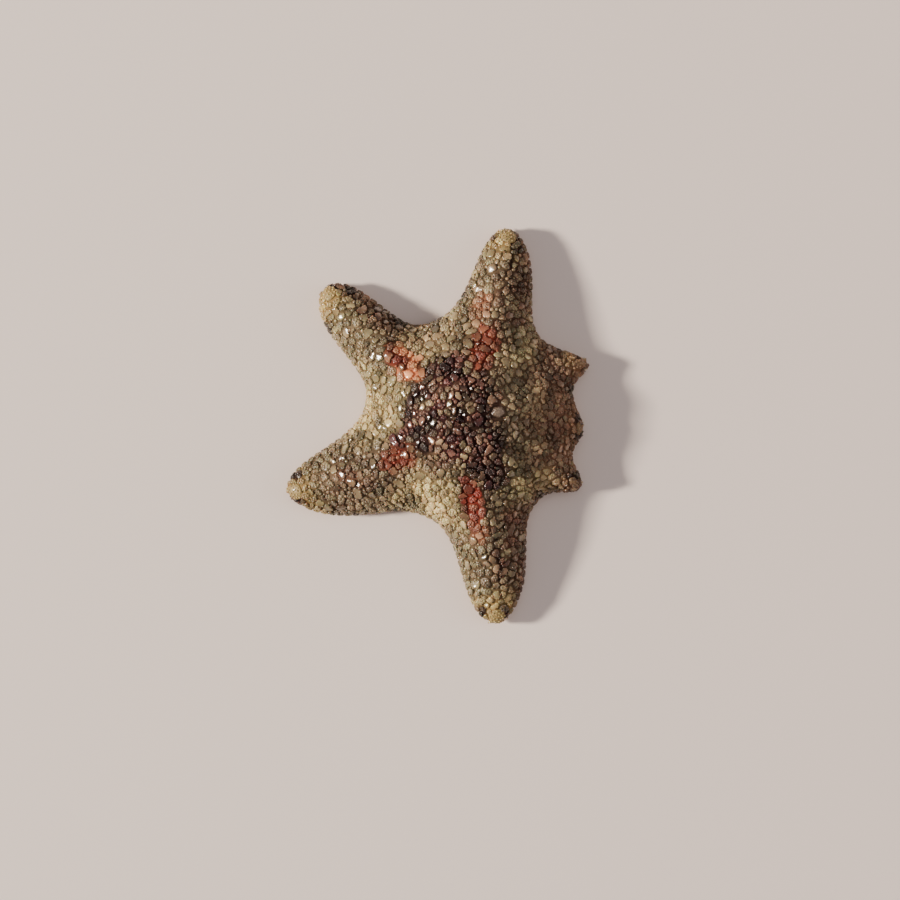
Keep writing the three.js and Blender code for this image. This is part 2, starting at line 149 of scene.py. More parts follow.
# Spines of a jaw's plate: how far forward they start, their lean, their drop and their length.
JAW_SPINES = [(0.09, 0.0, 0.1, 0.17), (0.07, 0.35, 0.15, 0.13), (0.0, 0.1, 0.45, 0.09)]
FOOT_PITCH, SMALL_FOOT_PITCH = 0.17, 0.14  # of the tube feet in a row
TIP_RISE = 0.05
TIP_COLUMNS = 40  # points of a tip plate's outline
TIP_CORNER = 2.6  # of a tip plate's outline: 2 is an ellipse
TIP_GRANULES = 22
TIP_GRANULE = 0.024  # radius of one
SIEVE_COLUMNS = 96
RING_RADIUS = 0.238  # of the soft ring round the mouth, to the middle of its section
RING_WIDTH, RING_HEIGHT = 0.132, 0.118  # half the size of that section
RING_LEVEL = 0.29  # height of its middle above the floor
RING_FOLDS = 21

# Length and radius of the spines.
FRINGE_SPINE = (0.092, 0.0145)
UNDER_SPINE = (0.085, 0.017)
COMB_SPINE = (0.1, 0.016)
BANK_SPINE = (0.095, 0.021)
JAW_SPINE_RADIUS = 0.021

FARTHEST = 6.4  # beyond the tips of all rays
GOLDEN_TURN = 2.39996  # from granule to granule of a spiral

# Kinds of plate.
BACK, MARGIN, FRINGE, UNDER, BANK, JAW, TIP, SIEVE = range(8)


def to_frame(points):
    """Millimetres from the disc's centre to metres of the frame."""
    return np.asarray(points) * MM + np.array([CENTRE.x, CENTRE.y, 0.0])


def smooth(share):
    share = np.clip(share, 0.0, 1.0)
    return share * share * (3 - 2 * share)


def lerp(first, second, share):
    return first + (second - first) * share


def wrap(angle):
    return np.arctan2(np.sin(angle), np.cos(angle))


def unit(vectors):
    return vectors / np.maximum(np.linalg.norm(vectors, axis=-1, keepdims=True), 1e-12)


mouth_low, mouth_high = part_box("mouth")
CENTRE = (Vector(mouth_low) + Vector(mouth_high)) / 2
HEADINGS, BENDS, LENGTHS = np.array([(ray.heading, ray.bend, ray.length) for ray in RAYS]).T

# ---- The form of the body -------------------------------------------------------------------


def heading_at(index, distance):
    """Direction of a ray's middle line at a distance from the centre; both may be arrays."""
    return np.radians(HEADINGS[index] + BENDS[index] * (distance / LENGTHS[index]) ** 2)


def form_at(x, y):
    """edge is 0 on a ridge and 1 on the rim. dome is the ridge's height above the rim there,
    and lift how far the whole body is raised from the floor."""
    distance = np.hypot(x, y)
    angle = np.arctan2(y, x)
    edges = [(distance / (DISC_REACH + DISC_SWAY * np.cos(angle))) ** 2]
    domes = [np.full_like(distance, DISC_DOME)]
    lifts = [np.zeros_like(distance)]
    for index, ray in enumerate(RAYS):
        along = distance / ray.length
        turn = np.abs(wrap(angle - heading_at(index, distance)))
        across = distance * np.minimum(turn, np.pi / 2)
        half = lerp(ray.root_half, ray.end_half, np.minimum(along, 1))
        sink = np.maximum(0, 1 - distance / ROOT_END)
        curl = np.maximum(0, (along - TIP_LIFT_START) / (1 - TIP_LIFT_START))
        edges.append((across / half) ** RIDGE_POWER + along**ray.bluntness + ROOT_SINK * sink**2)
        domes.append(lerp(DISC_DOME, TIP_DOME, np.minimum(along, 1)))
        lifts.append(TIP_LIFT * np.minimum(curl**2, 1))
    weight = np.maximum(np.array(edges), 1e-5) ** -WEB_POWER
    total = weight.sum(0)
    dome = (weight * np.array(domes)).sum(0) / total
    lift = (weight * np.array(lifts)).sum(0) / total
    return total ** (-1 / WEB_POWER), dome, lift


def upper_height(x, y):
    edge, dome, lift = form_at(x, y)
    return RIM_TOP + lift + dome * np.maximum(0, 1 - edge) ** DOME_POWER


def rim_reach(angle):
    """Distance from the centre to the rim in each direction."""
    radii = np.arange(DISC_CUT, FARTHEST, 0.05)
    cos, sin = np.cos(angle), np.sin(angle)
    outside = form_at(np.outer(cos, radii), np.outer(sin, radii))[0] > 1
    first = np.argmax(outside, axis=1)
    near, far = radii[first - 1], radii[first]
    for _ in range(25):
        middle = (near + far) / 2
        out = form_at(middle * cos, middle * sin)[0] > 1
        far = np.where(out, middle, far)
        near = np.where(out, near, middle)
    return (near + far) / 2


def find_webs():
    """Direction of the rim point nearest the centre before each ray."""
    found = []
    for index, ray in enumerate(RAYS):
        before = RAYS[index - 1]
        start = math.radians(before.heading + before.bend)
        span = wrap(math.radians(ray.heading + ray.bend) - start)
        angle = start + span * np.linspace(0, 1, 241)[1:-1]
        found.append(angle[np.argmin(rim_reach(angle))])
    return np.array(found)


WEBS = find_webs()
FURROW_HALVES = np.array([FURROW_HALF if ray.grown else SMALL_FURROW_HALF for ray in RAYS])


def sector_of(x, y):
    """Index of the ray whose sector, from web to web, holds each point."""
    turns = (WEBS - WEBS[0]) % (2 * np.pi)
    turn = (np.arctan2(y, x) - WEBS[0]) % (2 * np.pi)
    return np.searchsorted(turns, turn, side="right") - 1


def ray_coordinates(x, y, sector=None):
    """Sector, distance along its middle line, and distance to the left of that line."""
    distance = np.hypot(x, y)
    sector = sector_of(x, y) if sector is None else sector
    turn = wrap(np.arctan2(y, x) - heading_at(sector, distance))
    return sector, distance * np.cos(turn), distance * np.sin(turn)


def ray_point(index, along, across):
    """The plan point at a distance along a ray's middle line and to the left of it."""
    heading = heading_at(index, along)
    x = along * np.cos(heading) - across * np.sin(heading)
    return x, along * np.sin(heading) + across * np.cos(heading)


def furrow_half(sector, distance, side):
    """Half the width of a furrow; close to the mouth it shares the room with its neighbours."""
    share = np.minimum(distance / LENGTHS[sector], 1)
    edge = np.where(side < 0, WEBS[sector], WEBS[(sector + 1) % len(RAYS)])
    turn = np.abs(wrap(edge - heading_at(sector, distance)))
    room = distance * np.minimum(turn, np.pi / 2)
    return np.minimum(FURROW_HALVES[sector] * (1 - FURROW_TAPER * share), FURROW_SHARE * room)


def sole_height(x, y):
    """Height of the underside, with the furrows and the mouth's recess."""
    edge, _, lift = form_at(x, y)
    sector, _, across = ray_coordinates(x, y)
    distance = np.hypot(x, y)
    half = np.maximum(furrow_half(sector, distance, across), 1e-4)
    wall = (half - np.abs(across)) / (half * (1 - FURROW_ROOF))
    share = np.minimum(distance / LENGTHS[sector], 1)
    furrow = lerp(FURROW_DEPTH, FURROW_END_DEPTH, share**2) * smooth(wall)
    mouth = MOUTH_DEPTH * smooth((MOUTH_RIM - distance) / (MOUTH_RIM - MOUTH_ROOF))
    rise = np.clip((edge - FLAT_SHARE) / (1 - FLAT_SHARE), 0, 1)
    return lift + RIM_UNDERCUT * rise**2 + np.maximum(furrow, mouth)


def tip_reaches():
    """Where each middle line meets the rim, and where the plate at its tip starts."""
    tips, starts = [], []
    for index in range(len(RAYS)):
        line = np.arange(DISC_CUT, FARTHEST, 0.002)
        x, y = ray_point(index, line, 0.0)
        tip = line[np.argmax(form_at(x, y)[0] > 1)]
        webs = WEBS[[index, (index + 1) % len(RAYS)]]
        reach = rim_reach(webs)
        level = np.mean(reach * np.cos(webs - heading_at(index, reach)))
        tips.append(tip)
        starts.append(tip - min(TIP_PLATE, TIP_PLATE_SHARE * (tip - level)))
    return np.array(tips), np.array(starts)


TIPS, TIP_STARTS = tip_reaches()

# ---- The skin -------------------------------------------------------------------------------

RIM_STEP = 0.05  # from point to point of the rim
RIM_SAMPLES = 6000
RIM_INSETS = (0.012, 0.035, 0.075, 0.13, 0.2)  # of the lines just inside it
GRID_STEP = 0.095
GRID_REACH = 6.0
WALL_ROWS = 4  # of faces between the rims of the back and the underside
# Lines that the furrows and the mouth's recess need: shares of a half width, and radii.
FURROW_LINES = (0.0, FURROW_ROOF, 0.7, 0.8, 0.9, 1.0, 1.15)
MOUTH_LINES = (0.3, MOUTH_ROOF, 0.485, MOUTH_RIM, 0.56)


def trace_rim(step):
    """Points of the rim, anticlockwise and evenly spaced."""
    angle = np.linspace(0, 2 * np.pi, RIM_SAMPLES, endpoint=False)
    reach = rim_reach(angle)
    points = np.stack([reach * np.cos(angle), reach * np.sin(angle)], axis=1)
    loop = np.vstack([points, points[:1]])
    marks = np.concatenate([[0], np.cumsum(np.linalg.norm(np.diff(loop, axis=0), axis=1))])
    goals = np.linspace(0, marks[-1], round(marks[-1] / step), endpoint=False)
    return np.stack([np.interp(goals, marks, loop[:, axis]) for axis in (0, 1)], axis=1)


def inward_normals(rim):
    run = np.roll(rim, -1, axis=0) - np.roll(rim, 1, axis=0)
    return unit(np.stack([-run[:, 1], run[:, 0]], axis=1))


def tree_of(points):
    tree = KDTree(len(points))
    for index, point in enumerate(points):
        tree.insert((*point, 0.0) if len(point) == 2 else point, index)
    tree.balance()
    return tree


def plan_grid(rim, extra):
    """Triangles over the plan: the rim, lines just inside it, an even grid and extra points."""
    inward = inward_normals(rim)
    rings = [rim] + [rim + inward * inset for inset in RIM_INSETS]
    row_step = GRID_STEP * math.sqrt(3) / 2
    rows = np.arange(-GRID_REACH, GRID_REACH, row_step)
    grid = []
    for number, y in enumerate(rows):
        x = np.arange(-GRID_REACH, GRID_REACH, GRID_STEP) + GRID_STEP / 2 * (number % 2)
        grid.append(np.stack([x, np.full_like(x, y)], axis=1))
    grid = np.concatenate(grid)
    near = tree_of(rim)
    clear = RIM_INSETS[-1] + GRID_STEP / 2
    inside = form_at(grid[:, 0], grid[:, 1])[0] < 1
    grid = grid[inside]
    grid = grid[[near.find((x, y, 0))[2] > clear for x, y in grid]]
    points = np.concatenate(rings + [grid] + ([extra] if len(extra) else []))
    count = len(rim)
    edges = [(place, (place + 1) % count) for place in range(count)]
    made = delaunay_2d_cdt([Vector(p) for p in points], edges, [], 1, 1e-5)
    plan = np.array([tuple(v) for v in made[0]])
    triangles = np.array([tuple(face) for face in made[2]])
    border = np.zeros(count, int)
    for place, sources in enumerate(made[3]):
        for source in sources:
            if source < count:
                border[source] = place
    a, b, c = (plan[triangles[:, k]] for k in range(3))
    turns_left = (b - a)[:, 0] * (c - a)[:, 1] - (b - a)[:, 1] * (c - a)[:, 0] > 0
    triangles[~turns_left] = triangles[~turns_left][:, ::-1]
    return plan, triangles, border


def furrow_lines():
    """Plan points along the walls of the furrows and round the mouth."""
    lines = []
    for index, tip in enumerate(TIPS):
        along = np.arange(0.4, tip - 0.15, 0.07)
        for side in (-1, 1):
            half = furrow_half(np.full(len(along), index), along, side)
            for share in FURROW_LINES:
                if share or side > 0:
                    lines.append(np.stack(ray_point(index, along, side * share * half), axis=1))
    for radius in MOUTH_LINES:
        turn = np.linspace(0, 2 * np.pi, 60, endpoint=False)
        lines.append(np.stack([radius * np.cos(turn), radius * np.sin(turn)], axis=1))
    points = np.concatenate(lines)
    return points[form_at(points[:, 0], points[:, 1])[0] < 0.9]


def vertex_normals(points, triangles):
    a, b, c = (points[triangles[:, k]] for k in range(3))
    face = np.cross(b - a, c - a)
    total = np.zeros_like(points)
    for k in range(3):
        np.add.at(total, triangles[:, k], face)
    return unit(total)


def body_shell():
    """The closed outer form, as points, triangles and which triangles face down."""
    rim = trace_rim(RIM_STEP)
    top_plan, top_faces, top_border = plan_grid(rim, [])
    low_plan, low_faces, low_border = plan_grid(rim, furrow_lines())
    top = np.column_stack([top_plan, upper_height(*top_plan.T)])
    low = np.column_stack([low_plan, sole_height(*low_plan.T)])
    points, faces = [top, low], [top_faces, low_faces[:, ::-1] + len(top)]
    rows = [top_border]
    base = len(top) + len(low)
    for row in range(1, WALL_ROWS):
        share = row / WALL_ROWS
        points.append(lerp(top[top_border], low[low_border], share))
        rows.append(base + np.arange(len(rim)))
        base += len(rim)
    rows.append(low_border + len(top))
    for over, under in zip(rows, rows[1:]):
        after_over, after_under = np.roll(over, -1), np.roll(under, -1)
        faces.append(np.stack([over, under, after_under], axis=1))
        faces.append(np.stack([over, after_under, after_over], axis=1))
    is_low = np.concatenate([np.full(len(f), number == 1) for number, f in enumerate(faces)])
    return np.concatenate(points), np.concatenate(faces), is_low


class Surface:
    """A closed triangle surface that points can be put down on."""

    def __init__(self, points, triangles):
        self.points, self.triangles = points, triangles
        self.normals = vertex_normals(points, triangles)
        self.tree = BVHTree.FromPolygons(points.tolist(), triangles.tolist())

    def snap(self, points):
        """The nearest places on the surface, and the smooth normals there."""
        hits = [self.tree.find_nearest(point) for point in points.reshape(-1, 3).tolist()]
        place = np.array([tuple(hit[0]) for hit in hits])
        corner = self.triangles[[hit[2] for hit in hits]]
        a, b, c = (self.points[corner[:, k]] for k in range(3))
        whole = np.maximum(np.linalg.norm(np.cross(b - a, c - a), axis=1), 1e-12)
        shares = [
            np.linalg.norm(np.cross(b - place, c - place), axis=1) / whole,
            np.linalg.norm(np.cross(c - place, a - place), axis=1) / whole,
            np.linalg.norm(np.cross(a - place, b - place), axis=1) / whole,
        ]
        normal = sum(self.normals[corner[:, k]] * shares[k][:, None] for k in range(3))
        return place.reshape(points.shape), unit(normal).reshape(points.shape)

    def scatter(self, chosen, count):
        """Random places, evenly spread over the chosen triangles."""
        corner = self.triangles[chosen]
        a, b, c = (self.points[corner[:, k]] for k in range(3))
        area = np.linalg.norm(np.cross(b - a, c - a), axis=1)
        pick = RNG.choice(len(corner), count, p=area / area.sum())
        u, v = RNG.random(count), RNG.random(count)
        over = u + v > 1
        u, v = np.where(over, 1 - u, u), np.where(over, 1 - v, v)
        return a[pick] + (b - a)[pick] * u[:, None] + (c - a)[pick] * v[:, None]


shell_points, shell_faces, faces_down = body_shell()
shell_normals = vertex_normals(shell_points, shell_faces)
skin = Surface(shell_points - shell_normals * COAT, shell_faces)

# ---- The unwrap that skin and coat share ----------------------------------------------------

UV_SCALE = 0.037  # of the map, for a millimetre of skin
UV_CELLS = 4  # islands in a row of the map
UV_MARGIN = 0.014
TUFT_PATCH = 0.003
ARC_STEPS = 20


def unwrap(points, below, sector=None):
    """Places on the map: the back and the underside of each ray's sector is an island, laid
    out by distance along the ray's middle line and by the way over the skin from that line."""
    x, y = points[:, 0], points[:, 1]
    sector, along, across = ray_coordinates(x, y, sector)
    walk = np.linspace(0, 1, ARC_STEPS)[:, None]
    heading = heading_at(sector, np.hypot(x, y))
    line_x, line_y = along * np.cos(heading), along * np.sin(heading)
    height = upper_height(lerp(line_x, x, walk), lerp(line_y, y, walk))
    step = np.abs(across) / (ARC_STEPS - 1)
    over = np.hypot(np.diff(height, axis=0), step).sum(axis=0)
    drop = np.clip(height[-1] - COAT - points[:, 2], 0, None)
    arc = np.where(below, np.abs(across), over + drop)
    island = sector * 2 + below.astype(int)
    u = (island % UV_CELLS + 0.5) / UV_CELLS + np.sign(across) * arc * UV_SCALE
    v = (island // UV_CELLS) / UV_CELLS + UV_MARGIN + along * UV_SCALE
    return np.stack([u, v], axis=1)


# ---- Markings, with painted shade and light -------------------------------------------------

# The dark maroon middle: its reach by direction, as an even circle with bulges and bays.
MAROON_REACH = 1.5
MAROON_LOBES = [
    (303, 20, 0.65), (268, 13, -0.4), (98, 36, 0.3), (2, 34, -0.42), (222, 10, -0.2), (201, 8, 0.5),
    (172, 20, 0.12),
]
# Red patches on the ridges: ray, start and end along it, offset to the left, half width, depth
# and how orange it is. The strong orange of ray 2's patch is partly painted light, for its side that
# faces the key light.
RED_PATCHES = [
    (0, 1.4, 2.85, 0.02, 0.42, 0.95, 0.05),
    (0, 2.6, 3.6, 0.4, 0.28, 0.35, 0.4),
    (1, 1.5, 2.85, -0.12, 0.38, 0.9, 1.2),
    (2, 1.35, 2.5, 0.02, 0.42, 0.85, 0.1),
    (2, 3.1, 3.7, -0.15, 0.3, 0.3, 0.0),
    (3, 1.5, 3.1, -0.25, 0.31, 1.0, 0.0),
    (3, 2.7, 3.5, -0.25, 0.28, 0.5, 0.35),
]
# Brown of each ray, to the right and to the left of its ridge: partly the rays' own mottled brown,
# partly painted shade, highest on the sides away from the key light (right of rays 1 and 2, left of
# ray 4).
RAY_BROWN_AND_SHADE = np.array([
    (0.8, 0.5), (0.95, 0.1), (0.3, 0.6), (0.3, 1.0), (0.2, 0.1), (0.15, 0.15), (0.1, 0.25),
])
# Painted shade on the flanks that face away from the key light: ray, side (1 is left), distance from
# the ridge, softness and where they start.
SHADED_FLANKS = [(0, -1, 0.12, 0.3, 3.3), (1, -1, 0.22, 0.25, 2.5), (3, 1, 0.3, 0.3, 2.2)]
# Paler patches near the short rays: plan place, reach and strength.
PALE_PATCHES = [(2.45, -1.6, 0.42, 0.65), (2.95, 1.62, 0.26, 0.5)]
# Darkest places of the middle: plan place, reach and strength.
DARK_CORES = [(0.05, 0.0, 0.45, 0.25), (0.85, -1.3, 0.45, 0.5)]
# Olive of each ray.
RAY_OLIVE = np.array([0.3, 0.5, 0.1, 0.45, 0.15, 0.0, 0.2])
# Paler islands in the maroon middle: plan place, reach and strength.
ISLANDS = [
    (-0.97, 0.45, 0.16, 0.7), (-0.7, -1.08, 0.2, 0.8), (0.25, 0.33, 0.17, 0.7),
    (-0.35, 0.72, 0.15, 0.5),
]
# Dark round spots, most of them beside the tips: plan places.
SPOTS = [
    (0.94, 5.11), (1.53, 5.22), (-3.28, 3.78), (-3.67, 2.5), (-4.5, -1.53), (-4.44, -2.19),
    (0.64, -5.33), (1.28, -5.36), (3.36, 1.81), (3.58, 1.36), (3.33, 0.0), (3.36, -0.47),
    (3.19, -1.56), (3.31, -2.08), (3.19, 0.78), (2.25, -2.11), (1.55, 4.98), (1.64, 4.72),
    (-3.05, 3.62), (-3.42, 3.72),
]
SPOT_REACH = 0.15
CLUMP_LOW = -0.2  # of the clump share: the light and dark of whole groups of plates, with painted shade in the upper web; it goes up to 1
# Long seams between two rows of plates, from and to plan points. The gap is real; the dark colour
# along it is painted shade, the shade line where a ridge's lit side meets its shaded side.
SHADED_SEAMS = np.array([((1.03, -3.1), (1.2, -4.6)), ((1.5, 5.2), (1.44, 3.6))])
SEAM_CLEAR = 0.085  # from a seam to the middles of the plates beside it
SEAM_SHADE_HALF = 0.045


def seam_places(x, y):
    """For each seam, the share of the way along it and the distance to its left."""
    for start, end in SHADED_SEAMS:
        run = (end - start) / np.hypot(*(end - start))
        along = (x - start[0]) * run[0] + (y - start[1]) * run[1]
        yield along / np.hypot(*(end - start)), (y - start[1]) * run[0] - (x - start[0]) * run[1]


def mottle(x, y, scale, seed):
    """Smooth noise over the plan, from about -1 to 1."""
    return np.array([noise((a * scale, b * scale, seed)) for a, b in zip(x, y)])


def blot(x, y, place, size, spread=1.5, ragged=0.0):
    """A round place with a soft edge: 1 in its middle, and 0 beyond spread times its size."""
    return smooth(spread - np.hypot(x - place[0], y - place[1]) / size + ragged)


def maroon_share(x, y, coarse, fine):
    """The dark middle: its edge is ragged, and softer towards +X, and it has paler islands."""
    distance, angle = np.hypot(x, y), np.arctan2(y, x)
    reach = np.full_like(distance, MAROON_REACH)
    for direction, spread, size in MAROON_LOBES:
        turn = wrap(angle - math.radians(direction)) / math.radians(spread)
        reach += size * np.exp(-(turn**2))
    soft = 0.16 + 0.45 * smooth(1 - np.abs(wrap(angle)) / 1.1)
    maroon = smooth((reach + 0.16 * fine + 0.3 * coarse - distance) / soft + 0.5)
    for *place, size, strength in ISLANDS:
        maroon = maroon * (1 - strength * blot(x, y, place, size, 1.6))
    return maroon * (1 - 0.3 * smooth(2.4 * mottle(x, y, 2.7, 63.0)))


def red_shares(x, y, fine):
    """The red patches on the ridges, and how orange they are; the orange of ray 2's patch is partly
    painted light.
    """
    sector, along, across = ray_coordinates(x, y)
    red, orange = np.zeros_like(x), np.zeros_like(x)
    for ray, start, end, offset, half, depth, glow in RED_PATCHES:
        middle, long_half = (start + end) / 2, (end - start) / 2
        away = np.hypot((along - middle) / long_half, (across - offset) / half)
        inside = np.where(sector == ray, depth * smooth((1.12 - away + 0.3 * fine) / 0.4), 0)
        red = np.maximum(red, inside)
        glowing = smooth(0.5 + 1.6 * mottle(x, y, 2.6, 44.5))
        orange = np.maximum(orange, inside * glow * glowing)
    return red, orange


def spots_and_seam_shade(x, y):
    """The dark spots, and the painted shade along the seams."""
    spot_and_seam_shade = np.zeros_like(x)
    for place in SPOTS:
        spot_and_seam_shade = np.maximum(spot_and_seam_shade, blot(x, y, place, SPOT_REACH, 1.7))
    for passed, off in seam_places(x, y):
        # Painted shade along each seam.
        seam = smooth(1.6 - np.abs(off) / SEAM_SHADE_HALF) * (passed > 0) * (passed < 1)
        spot_and_seam_shade = np.maximum(spot_and_seam_shade, seam)
    return spot_and_seam_shade


def painted_flank_shade(x, y, fine):
    """Painted shade on the flanks of three rays, on the sides that face away from the key light."""
    sector, along, across = ray_coordinates(x, y)
    flank_shade = np.zeros_like(x)
    for ray, side, offset, soft, start in SHADED_FLANKS:
        here = (sector == ray) * smooth((side * across - offset + 0.12 * fine) / soft)
        flank_shade = np.maximum(flank_shade, here * smooth((along - start) / 0.7))
    return flank_shade


def markings(x, y):
    """Shares of the pigments at points of the back, 0 to 1, by name. Some of them also carry painted
    shade and painted light, as noted where they are made.
    """
    distance = np.hypot(x, y)
    sector, along, across = ray_coordinates(x, y)
    edge = form_at(x, y)[0]
    share = along / TIPS[sector]
    coarse, fine = mottle(x, y, 1.6, 3.0), mottle(x, y, 4.5, 8.0)
    maroon = maroon_share(x, y, coarse, fine)
    red, orange = red_shares(x, y, fine)
    spot_and_seam_shade, flank_shade = spots_and_seam_shade(x, y), painted_flank_shade(x, y, fine)
    tip = smooth((share - 0.72) / 0.22)
    web = smooth((edge - 0.2) / 0.4) * smooth((3.4 - distance) / 1.2)
    # The upper web, between rays 1 and 2, lies in the shade of ray 2's ridge; below, it gets painted
    # shade in umber and clump, and less pale.
    upper = web * smooth((y - 1.3) / 0.6) * (x < 0.6)

    olive = np.clip(RAY_OLIVE[sector] + smooth((edge - 0.3) / 0.5) * 0.6 + tip * 0.6, 0, 1)
    olive = np.clip(olive + 0.5 * web + 0.35 * coarse, 0, 1) * (1 - red)

    # Brown: partly the rays' own colour in mottled patches, partly painted shade on the side of each
    # ray away from the key light.
    side = smooth((across + 0.25 * (sector == 1)) / 0.6 + 0.5)
    brown_and_shade = lerp(RAY_BROWN_AND_SHADE[sector, 0], RAY_BROWN_AND_SHADE[sector, 1], side)
    brown_and_shade = brown_and_shade * smooth(0.5 + 1.2 * mottle(x, y, 3.1, 31.0)) * (1 - 0.8 * web) * (1 - tip)
    brown_and_shade = np.clip(brown_and_shade * lerp(0.7, 1.15, smooth((along - 1.8) / 1.4)), 0, 1)
    brown_and_shade = brown_and_shade * np.clip(1 - 1.6 * red, 0, 1)
    # The painted flank shade is laid on in brown.
    brown_and_shade = np.maximum(brown_and_shade, 0.85 * flank_shade * np.clip(1 - 2 * red, 0, 1))

    # The webs are paler towards -X, where the key light falls, and less pale in the upper web that ray
    # 2 shades and on the painted flank shade: partly the webs' own pale colour, partly painted light
    # and shade.
    left = smooth(0.6 - x / 2.5) * (1 - smooth((y - 1.2) / 0.8))
    pale = lerp(0.3, 0.9, left) * web * (1 - 0.6 * flank_shade)
    # Umber: darker and redder towards +X on the short rays, the side away from the key light, and in
    # the upper web that ray 2 shades: partly the short rays' own colour, partly painted shade.
    umber_and_shade = 0.75 * smooth((x - 1.5) / 1.3) * (sector > 3)
    umber_and_shade = np.maximum(umber_and_shade, 0.3 * upper)
    for *place, size, strength in PALE_PATCHES:
        pale = np.maximum(pale, strength * blot(x, y, place, size, ragged=0.4 * fine))
        umber_and_shade = umber_and_shade * (1 - 0.7 * strength * blot(x, y, place, size))

    relief = lerp(0.5, 1.2, np.maximum(maroon, web))
    clump_and_shade = 0.5 + relief * (1.3 * mottle(x, y, 3.2, 71.5) + 0.5 * mottle(x, y, 1.8, 21.5))
    # Darker towards +X in the maroon middle, and painted shade in the upper web.
    clump_and_shade = clump_and_shade - 0.65 * maroon * smooth((x - 0.25) / 0.5) - 0.14 * upper
    for *place, size, strength in DARK_CORES:
        clump_and_shade = clump_and_shade - strength * maroon * blot(x, y, place, size)
    return {
        "olive": olive, "pale": pale, "honey": 0.85 * smooth((share - 0.8) / 0.14) * (1 - 0.8 * flank_shade),
        "brown_and_shade": brown_and_shade, "umber_and_shade": umber_and_shade, "rust": 0.8 * smooth((edge - 0.9) / 0.08) * (1 - spot_and_seam_shade),
        "maroon": maroon * (1 - 0.8 * red), "red": red, "orange": orange, "spot_and_seam_shade": spot_and_seam_shade,
        # The clump share is lighter where the patches are orange, partly painted light.
        "clump_and_shade": np.clip(clump_and_shade + 0.35 * orange, CLUMP_LOW, 1),
    }


# ---- Places of the plates -------------------------------------------------------------------


def spaced(candidates, taken, least):
    """The candidates, in order, that keep their least distance to all taken before them."""
    kept = []
    held = np.array(taken).reshape(-1, 3)
    buffer = np.empty((len(held) + len(candidates), 3))
    buffer[: len(held)] = held
    count = len(held)
    for place, point in enumerate(candidates):
        gap = np.sum((buffer[:count] - point) ** 2, axis=1).min() if count else 1e9
        if gap > least[place] ** 2:
            buffer[count] = point
            count += 1
            kept.append(place)
    return np.array(kept, int)


def settle(seeds, fixed, cloud, rounds, ease):
    """Moves the seeds towards the middles of the places nearest to them."""
    for _ in range(rounds):
        tree = tree_of(np.vstack([seeds, fixed]))
        owner = np.array([tree.find(point)[1] for point in cloud.tolist()])
        mine = owner < len(seeds)
        count = np.bincount(owner[mine], minlength=len(seeds))[:, None]
        middle = np.zeros_like(seeds)
        np.add.at(middle, owner[mine], cloud[mine])
        middle = np.where(count > 0, middle / np.maximum(count, 1), seeds)
        seeds = skin.snap(lerp(seeds, middle, ease))[0]
    return seeds


def pitch_at(points):
    """Distance between plates of the back: less in the middle of the disc and at the tips."""
    distance = np.hypot(points[:, 0], points[:, 1])
    sector, along, _ = ray_coordinates(points[:, 0], points[:, 1])
    inner = lerp(CENTRE_PITCH, PLATE_PITCH, smooth((distance - CENTRE_REACH) / 0.4))
    short = np.where(sector > 3, smooth((distance - 1.7) / 0.8), 0)
    outer = 1 - 0.16 * smooth((along / TIPS[sector] - 0.7) / 0.3)
    return inner * outer * lerp(1, SMALL_RAY_PITCH, short)


def clear_seams(seeds):
    """Moves the seeds out of the seams."""
    for (share, side), (start, end) in zip(seam_places(*seeds[:, :2].T), SHADED_SEAMS):
        run = (end - start) / np.hypot(*(end - start))
        near = (np.abs(side) < SEAM_CLEAR) & (share > 0) & (share < 1)
        shift = np.where(side > 0, SEAM_CLEAR - side, -SEAM_CLEAR - side) * near
        seeds[:, :2] += shift[:, None] * np.array([-run[1], run[0]])
    return skin.snap(seeds)[0]


def row_seeds(index):
    """Seeds in staggered rows beside a ray's ridge, spaced by the way over the back."""
    if not RAYS[index].grown:
        return np.zeros((0, 4))
    found = []
    for number, along in enumerate(np.arange(CENTRE_REACH, TIP_STARTS[index], PLATE_PITCH / 2)):
        for side in (-1, 1):
            across = side * np.linspace(0, 3.2, 400)
            x, y = ray_point(index, along, across)
            outside = (form_at(x, y)[0] > 0.985) | (sector_of(x, y) != index)
            last = np.argmax(outside)
            x, y, across = x[:last], y[:last], across[:last]
            if last < 2:
                continue
            z = upper_height(x, y)
            arc = np.concatenate([[0], np.cumsum(np.hypot(np.diff(z), np.diff(across)))])
            rows = np.arange(number % 2, arc[-1] / ROW_PITCH, 2)
            if side > 0:
                rows = rows[rows > 0]
            for row in rows:
                found.append([np.interp(row * ROW_PITCH, arc, line) for line in (x, y, z)] + [row])
    return np.array(found)


def back_seeds(fixed):
    """Seeds of the back: rows beside the ridges, then random ones wherever there is room."""
    rows = np.concatenate([row_seeds(index) for index in range(len(RAYS))])
    rows = rows[np.argsort(rows[:, 3], kind="stable")]
    seeds = skin.snap(rows[:, :3] + RNG.normal(0, 0.058, (len(rows), 3)))[0]
    cloud = skin.scatter(~faces_down, 26000)
    pitch = pitch_at(seeds)
    seeds = seeds[spaced(seeds, fixed, RNG.uniform(0.62, 0.86, len(seeds)) * pitch)]
    tries = cloud[:12000]
    least = pitch_at(tries) * RNG.uniform(0.6, 0.95, len(tries))
    more = tries[spaced(tries, np.vstack([fixed, seeds]), least)]
    seeds = settle(np.vstack([seeds, more]), fixed, cloud, 1, 0.35)
    return clear_seams(seeds)


